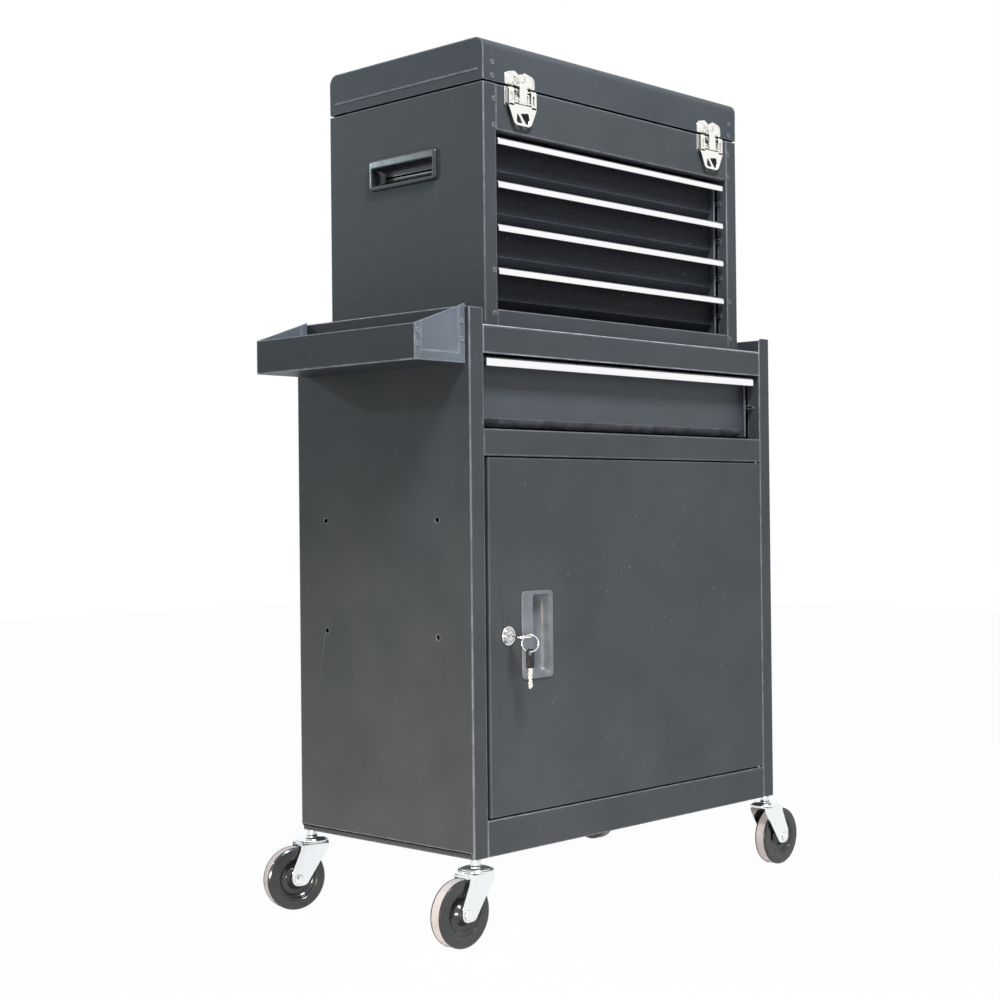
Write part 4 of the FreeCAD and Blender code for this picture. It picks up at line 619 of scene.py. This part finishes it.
# Key in the lock: stamped brass, 2 mm thick, with a round bow drilled for the ring and
# notches cut along one side of the blade. Its nickel plate reads as a warm, bright silver.
nickel = plated("nickel_plate", "#f4f3ee", "#fcfbf8", 0.05, 0.14, 4)
KEY_HALF, BOW_R, BOW_OUT, EYE_R, EYE_OUT = 3.8, 11, -24, 4.5, -27.5
key = [(-KEY_HALF, 9), (-KEY_HALF, -13.7)]
key += circle(BOW_R, 110, 431, up=BOW_OUT)
key += [(KEY_HALF, -13.7), (KEY_HALF, -6.5), (2.6, -5.5), (KEY_HALF, -4), (KEY_HALF, -2), (2.2, -0.5),
        (3.6, 2), (2.4, 4.5), (KEY_HALF, 7), (KEY_HALF, 9), (0, 9.5)]
eye = circle(EYE_R, step=12, up=EYE_OUT)
flat = axes((1, 0, 0), (0, 1, 0), (0, 0, 1), spot(LOCK_X, 0, LOCK_Z))
keep("key_plate", [plate_mesh([rounded(key), eye], -1, 1, 0.3)], flat, nickel, "lock", "lock_key")

# Key ring and spare key: sprung steel wire, plated, and a second key with a moulded black
# bow that hangs by its hole from the bottom of the ring.
RING_R, WIRE_R, RING_DROP, SPARE_EYE_R, SPARE_EYE_UP = 10, 0.8, 7.8, 3.3, -1.4
ring_turn, spare_turn = math.radians(46.5), math.radians(-6)
run = Vector((math.cos(ring_turn), -math.sin(ring_turn), 0))
swing = math.sqrt(RING_R ** 2 - RING_DROP ** 2)
ring_at = Vector((LOCK_X, EYE_OUT, LOCK_Z - RING_DROP)) + run * swing
wire = circle(WIRE_R, step=30, across=RING_R)
lay = axes(run, (0, 0, 1), run.cross(Vector((0, 0, 1))), spot(*ring_at))
keep("ring_wire", [lathe_mesh(wire, 64, True)], lay, nickel, "keys", "key_ring")
lowest = spot(*(ring_at - Vector((0, 0, RING_R))))
hang = Matrix.Translation(lowest) @ Matrix.Rotation(spare_turn, 4, "Z")
hang = hang @ axes((1, 0, 0), (0, 0, 1), (0, -1, 0), (0, 0, 0))
blade = rounded([(-3, -43.5, 1), (0.5, -43.5, 0.8), (3, -41, 0.5), (3, -38), (1.9, -36.8), (2.8, -35),
                 (1.4, -32.5), (2.9, -30.5), (1.8, -28), (3, -26), (3, -10), (-3, -10)], 4)
keep("spare_key_blade", [plate_mesh([blade], -0.6, 0.6, 0.2)], hang, nickel, "keys", "key_ring")
black_abs = moulded("black_abs", "#08080a", "#141517", 0.2, 0.34, 0.8, 0.05, 0.5)
bow = rounded([(-6, -19.5, 2), (6, -19.5, 2), (6, 3.6, 3.5), (-6, 3.6, 3.5)], 6)
hole = circle(SPARE_EYE_R, step=15, up=SPARE_EYE_UP)
pad = rounded([(-4, -17, 1), (4, -17, 1), (4, -6.5, 1), (-4, -6.5, 1)], 4)
keep("spare_key_bow", [plate_mesh([bow, hole], -1.05, 1.05, 0.5), plate_mesh([pad], -1.2, 1.2, 0.25)],
     hang, black_abs, "keys", "key_ring")

# Latches: four stampings each, nickel plated and bright. A keeper plate with two domed
# lobes is riveted to the lid, a base plate with two ears to the chest.
LATCHES = (("left", 112), ("right", 498))
JOINT_Z = 927
LOBE_X, LOBE_UP, KEEPER_RIVET_X, KEEPER_RIVET_UP = 17.5, 9.8, 8.2, 5.2
BASE_RIVET_X, BASE_RIVET_UP, EAR_IN, EAR_OUT = 16, -7, 9, 10.2
dome = [(7.2, 0.9), (6.9, 1.5), (6.0, 2.4), (4.2, 3.2), (2.2, 3.6), (0, 3.7)]
rivet = [(2.1, 0.9), (2.1, 1.5), (1.6, 2.1), (0.8, 2.4), (0, 2.45)]


def moved(mesh, across, up, out=0.0):
    """The same mesh, moved along its own axes by millimetres."""
    mesh.transform(Matrix.Translation((across * MM, up * MM, out * MM)))
    return mesh


def cross_wise(outline, low, high):
    """A profile of (depth, up) points, laid across the latch from low to high."""
    mesh = plate_mesh([rounded(outline, 5)], low, high, 0.2)
    mesh.transform(Matrix(((0, 0, 1, 0), (0, 1, 0, 0), (-1, 0, 0, 0), (0, 0, 0, 1))))
    return mesh


def pin_mesh(radius, half, depth, up):
    """A round pin across the latch, at a depth in front of the sheet and a height."""
    edge = 0.3
    mesh = lathe_mesh([(0, -half), (radius - edge, -half), (radius, edge - half), (radius, half - edge),
                       (radius - edge, half), (0, half)], 24)
    mesh.transform(Matrix.Rotation(math.pi / 2, 4, "Y"))
    return moved(mesh, 0, up, depth)


for side, centre in LATCHES:
    lay = facing_front(centre, CHEST_FRONT, JOINT_Z)
    outline = [(-27, 2.5, 2), (27, 2.5, 2), (27, 17, 7), (9, 21, 4), (0, 15.5, 2), (-9, 21, 4), (-27, 17, 7)]
    lip = [(0, 7), (-5.6, 7, 1.2), (-5.6, 12.5), (-4.4, 12.5), (-4.4, 8.2), (0, 8.2)]
    plates = [plate_mesh([rounded(outline)], 0, 1.2, 0.35), cross_wise(lip, -4, 4)]
    for sense in (-1, 1):
        plates.append(moved(lathe_mesh(dome, 40), sense * LOBE_X, LOBE_UP))
        plates.append(moved(lathe_mesh(rivet, 20), sense * KEEPER_RIVET_X, KEEPER_RIVET_UP))
    keep("latch_keeper_" + side, plates, lay, nickel, "lid", "latch_keepers")
    outline = [(-27.5, -24.5, 3), (27.5, -24.5, 3), (27.5, -1), (-27.5, -1)]
    ear = [(0, -8), (-1.2, -8), (-5.4, -5.5, 1), (-5.4, -0.6, 2), (0, -0.6)]
    plates = [plate_mesh([rounded(outline)], 0, 1.2, 0.3)]
    plates += [cross_wise(ear, -EAR_OUT, -EAR_IN), cross_wise(ear, EAR_IN, EAR_OUT)]
    for sense in (-1, 1):
        plates.append(moved(lathe_mesh(rivet, 20), sense * BASE_RIVET_X, BASE_RIVET_UP))
    keep("latch_base_" + side, plates, lay, nickel, "chest", "latch_bases")

# Latch levers and claws: the lever is a tapering plate folded back into two arms that turn
# on a pin, with a diagonal bar between two cut-outs; the claw is a strap with a window.
PIVOT_OUT, PIVOT_UP, CLAW_OUT, CLAW_UP = 3.2, -3, 4.4, -18
ARM_IN, ARM_OUT, PIN_HALF = 23.8, 25, 24.8
STRIP_IN, STRIP_OUT, SLOT_IN = 15.5, 24.6, 3
PLATE_LOW, PLATE_HIGH = 5, 6.2
for side, centre in LATCHES:
    lay = facing_front(centre, CHEST_FRONT, JOINT_Z)
    face = [(-25, -21), (-25, -24, 4), (-17, -41), (-14, -46.5, 8), (14, -46.5, 8), (17, -41), (25, -24, 4),
            (25, -21)]
    left_hole = [(-10.5, -33, 0.8), (-8.5, -33, 0.8), (0, -43.5, 1), (-11.5, -43.5, 3)]
    right_hole = [(-4.5, -32, 0.8), (10, -30, 1.5), (12, -38, 2), (9, -43.5, 2), (5, -43.5, 1)]
    loops = [rounded(face), rounded(left_hole), rounded(right_hole)]
    plates = [plate_mesh(loops, PLATE_LOW, PLATE_HIGH, 0.35)]
    arm = [(1.7 - PIVOT_OUT, 1.7 + PIVOT_UP, 1.6), (1.7 - PIVOT_OUT, -20), (-5.2, -24), (-PLATE_HIGH, -24),
           (-PLATE_HIGH, -1.3, 2.4)]
    plates += [cross_wise(arm, -ARM_OUT, -ARM_IN), cross_wise(arm, ARM_IN, ARM_OUT)]
    plates += [pin_mesh(1.2, PIN_HALF, PIVOT_OUT, PIVOT_UP), pin_mesh(1.2, PIN_HALF, CLAW_OUT, CLAW_UP)]
    # side strips of the lever, which run up to the pin at each side of the claw
    for low, high in ((-STRIP_OUT, -STRIP_IN), (STRIP_IN, STRIP_OUT)):
        strip = rounded([(low, -24), (high, -24), (high, -1.6, 1.5), (low, -1.6, 1.5)])
        slot_low, slot_high = low + SLOT_IN, high - SLOT_IN
        slot = rounded([(slot_low, -19, 1), (slot_high, -19, 1), (slot_high, -7, 1), (slot_low, -7, 1)])
        plates.append(plate_mesh([strip, slot], PLATE_LOW, PLATE_HIGH, 0.35))
    keep("latch_plate_" + side, plates, lay, nickel, "latch_" + side, "latch_lever_" + side)
    strap = rounded([(-6.5, -18), (6.5, -18), (6.5, 16, 1.5), (-6.5, 16, 1.5)])
    window = rounded([(-4.4, 6, 0.6), (4.4, 6, 0.6), (4.4, 13.5, 0.6), (-4.4, 13.5, 0.6)])
    plates = [plate_mesh([strap, window], 6.05, 7.35, 0.35), pin_mesh(2.5, 6.5, CLAW_OUT, CLAW_UP)]
    keep("latch_strap_" + side, plates, lay, nickel, "claw_" + side, "latch_claw_" + side)


# Casters: each fork is one pressed sheet under a domed race, zinc plated and bright, with a
# bolt through the hub of its wheel.
CASTERS = (("front_left", 10, 8, 178), ("front_right", 600, 8, -1), ("rear_left", 10, 304, 165),
           ("rear_right", 600, 304, 90))
FORK_TOP, FORK_LOW, FORK_HALF, FORK_SHEET, FORK_CUT = -13.6, -16.0, 15, 2.4, -75
AXLE_X, AXLE_Z, AXLE_R, RACE_R, STEM_R = 26, -60, 4, 21.5, 4.2


def shared(first, second):
    """The solid that two meshes have in common."""
    carriers = [bpy.data.objects.new("blank", mesh) for mesh in (first, second)]
    for carrier in carriers:
        bpy.context.scene.collection.objects.link(carrier)
    press = carriers[0].modifiers.new("press", "BOOLEAN")
    press.operation = "INTERSECT"
    press.solver = "EXACT"
    press.object = carriers[1]
    bpy.context.view_layer.update()
    pressed = carriers[0].evaluated_get(bpy.context.evaluated_depsgraph_get())
    mesh = bpy.data.meshes.new_from_object(pressed)
    for carrier in carriers:
        bpy.data.objects.remove(carrier)
    for blank in (first, second):
        bpy.data.meshes.remove(blank)
    return mesh


def at_stem(across, depth, degrees):
    """Local X points to where the wheel trails, local Z up, from under the cabinet's floor."""
    return Matrix.Translation(spot(across, depth, 0)) @ Matrix.Rotation(math.radians(degrees), 4, "Z")


def at_axle(across, depth, degrees):
    """Local Z runs along the axle of a caster, from the middle of its wheel."""
    middle = at_stem(across, depth, degrees) @ Matrix.Translation((AXLE_X * MM, 0, AXLE_Z * MM))
    return middle @ sideways


bright_zinc = plated("bright_zinc", "#eef2f4", "#f8fafb", 0.1, 0.2, 9)
sideways = Matrix(((1, 0, 0, 0), (0, 0, -1, 0), (0, 1, 0, 0), (0, 0, 0, 1)))
inside = FORK_HALF - FORK_SHEET
channel = rounded([(-FORK_HALF, FORK_CUT), (-FORK_HALF, FORK_TOP, 4.5), (FORK_HALF, FORK_TOP, 4.5),
                   (FORK_HALF, FORK_CUT), (inside, FORK_CUT), (inside, FORK_LOW, 2.1),
                   (-inside, FORK_LOW, 2.1), (-inside, FORK_CUT)], 8)
side_view = rounded([(-17, FORK_TOP + 1), (-17, FORK_LOW - 5, 5), (AXLE_X - 11, -68, 8),
                     (AXLE_X + 9, -69, 9), (AXLE_X + 9, -51, 9), (22, FORK_LOW - 6, 9),
                     (22, FORK_TOP + 1)], 10)
race = rounded([(STEM_R, FORK_TOP), (RACE_R, FORK_TOP, 0.5), (RACE_R, FORK_TOP + 1.7, 0.8),
                (19, FORK_TOP + 2.2, 0.6), (18.4, FORK_TOP + 3.1, 1), (14, FORK_TOP + 4.6, 5),
                (9, -8.3, 1), (STEM_R, -8.3)], 5)
bolt_head = [(0, 0), (6, 0), (6, 0.9), (5.4, 1.6), (4, 1.9), (0, 2.0)]
axle = [(0, -FORK_HALF), (AXLE_R, -FORK_HALF), (AXLE_R, FORK_HALF), (0, FORK_HALF)]
for name, *stance in CASTERS:
    lay = at_stem(*stance)
    folded = plate_mesh([channel], -40, 60)
    folded.transform(axes((0, 1, 0), (0, 0, 1), (1, 0, 0), (0, 0, 0)))
    silhouette = plate_mesh([side_view], -20, 20)
    silhouette.transform(sideways)
    keep("fork_" + name, [shared(folded, silhouette)], lay, bright_zinc, "fork_" + name, "caster_" + name,
         fold=0.4)
    keep("race_" + name, [lathe_mesh(race, 64, True)], lay, bright_zinc, "fork_" + name, "caster_" + name)
    heads = []
    for half_turns in (1, 0):
        head = lathe_mesh(bolt_head, 32)
        head.transform(Matrix.Translation((0, 0, FORK_HALF * MM)))
        head.transform(Matrix.Rotation(half_turns * math.pi, 4, "X"))
        heads.append(head)
    heads.append(lathe_mesh(axle, 24))
    keep("axle_" + name, heads, at_axle(*stance), bright_zinc, "fork_" + name, "caster_" + name)

# Wheels: moulded grey-black phenolic with a stepped web, turned true, and a band of pale
# hard rubber bonded into the tread between two dark shoulders.
phenolic = moulded("black_phenolic", "#262728", "#323334", 0.12, 0.22, 0.9, 0.05, 0.6)
pale_rubber = moulded("pale_rubber", "#cfc5c1", "#dad0cc", 0.5, 0.65, 1.2, 0.2, 0.5)
half_web = [(4.05, 12), (9, 12, 0.6), (11, 8, 2), (14, 4.2, 2.5), (20, 4.6, 3), (23.4, 7.2, 1.5),
            (24.8, 7.6, 0.5), (25.4, 9.0, 0.5), (27.4, 9.0, 0.5), (28, 9.5, 0.4), (37.4, 9.5, 0.7),
            (39.6, 8.0, 1), (40, 6.5), (38.8, 6.5)]
web = rounded([(p[0], -p[1], *p[2:]) for p in half_web] + half_web[::-1], 5)
band = rounded([(38.7, -6.4), (39.6, -6.4, 0.4), (39.6, 6.4, 0.4), (38.7, 6.4)], 4)
for name, *stance in CASTERS:
    lay = at_axle(*stance)
    keep("wheel_core_" + name, [lathe_mesh(web, 96, True)], lay, phenolic, "roller_" + name, "wheel_" + name)
    keep("wheel_tread_" + name, [lathe_mesh(band, 96, True)], lay, pale_rubber, "roller_" + name,
         "wheel_" + name)

# Studio: the camera of the photograph, a pale floor in a white surround, a softbox high in
# front, a smaller one behind the left side that throws the tray's shadow, and a low lamp at
# the left that lightens the foot of the cabinet.
CAMERA_AT = (-1.7347, -1.5814, 0.5091)
HEADING, TILT, ROLL = -0.8112450, 0.0058025, -0.0103657
turn = Matrix.Rotation(HEADING, 4, "Z") @ Matrix.Rotation(math.pi / 2 + TILT, 4, "X")
turn = turn @ Matrix.Rotation(ROLL, 4, "Z")
camera_data = bpy.data.cameras.new("camera")
camera_data.lens = 62.11
camera_data.sensor_width = 36
camera_data.shift_x = 0.00014
camera_data.shift_y = 0.00101
camera = bpy.data.objects.new("camera", camera_data)
camera.matrix_world = Matrix.Translation(CAMERA_AT) @ turn
bpy.context.scene.collection.objects.link(camera)
bpy.context.scene.camera = camera
bpy.context.scene.view_settings.view_transform = "Standard"


def seen_rays(tree):
    """1 for rays that show a thing to the eye, straight or in a gloss or a glass, else 0."""
    path = add(tree, "LightPath").outputs
    seen = add(tree, "Math", {0: path["Is Camera Ray"], 1: path["Is Glossy Ray"]}, operation="MAXIMUM")
    return add(tree, "Math", {0: seen.outputs[0], 1: path["Is Transmission Ray"]},
               operation="MAXIMUM").outputs[0]


world = bpy.data.worlds.new("surround")
world.use_nodes = True
bpy.context.scene.world = world
tree = world.node_tree
tree.nodes.clear()
glow = add(tree, "Mix", {0: seen_rays(tree), 6: linear("#2e3034"), 7: (1, 1, 1, 1)},
           data_type="RGBA").outputs[2]
shade = add(tree, "Background", {"Color": glow, "Strength": 1.0})
add(tree, "OutputWorld", {"Surface": shade.outputs[0]})

FLOOR_HALF, FLOOR_WHITE = 6, 0.975
floor_mesh = bpy.data.meshes.new("floor")
shape = bmesh.new()
bmesh.ops.create_grid(shape, x_segments=1, y_segments=1, size=FLOOR_HALF)
shape.to_mesh(floor_mesh)
shape.free()
floor = bpy.data.objects.new("floor", floor_mesh)
bpy.context.scene.collection.objects.link(floor)
# painted board: matt and almost even, with a grain of 4 mm
material, tree, place = empty_material("pale_floor")
grain = add(tree, "TexNoise", {"Vector": place, "Scale": 1 / (4 * MM)}).outputs["Fac"]
colour = add(tree, "Mix", {0: grain, 6: linear("#e9e9e9"), 7: linear("#efefef")},
             data_type="RGBA").outputs[2]
shader = add(tree, "BsdfPrincipled", {"Base Color": colour, "Roughness": 0.9, "IOR": 1.5})
white = add(tree, "Emission", {"Color": (1, 1, 1, 1), "Strength": 1.0})
# to the eye it is almost white, and what is left keeps a faint shadow under the cabinet
amount = add(tree, "Math", {0: seen_rays(tree), 1: FLOOR_WHITE}, operation="MULTIPLY").outputs[0]
mixed = add(tree, "MixShader", {0: amount, 1: shader.outputs[0], 2: white.outputs[0]})
add(tree, "OutputMaterial", {"Surface": mixed.outputs[0]})
floor_mesh.materials.append(material)

LOW_LAMP_CONE = 32
LAMPS = (("softbox", "AREA", (-0.8, -1.5, 2.7), (0, 0, 0.75), 0.7, 84, "#e8effa"),
         ("side_softbox", "AREA", (-1.66, 1.96, 1.5), (-0.29, 0, 0.6), 0.12, 9, "#d6eef5"),
         ("low_lamp", "SPOT", (-2.1, -1.0, 0.12), (-0.25, -0.1, 0.0), 0.3, 190, "#fff1e2"))
for name, kind, stand, aim, size, power, tint in LAMPS:
    data = bpy.data.lights.new(name, kind)
    if kind == "AREA":
        data.shape = "SQUARE"
        data.size = size
    else:
        data.shadow_soft_size = size
        data.spot_size = math.radians(LOW_LAMP_CONE)
        data.spot_blend = 1.0
    data.energy = power
    data.color = linear(tint)[:3]
    lamp = bpy.data.objects.new(name, data)
    lamp.location = stand
    lamp.rotation_euler = (Vector(aim) - Vector(stand)).to_track_quat("-Z", "Y").to_euler()
    bpy.context.scene.collection.objects.link(lamp)
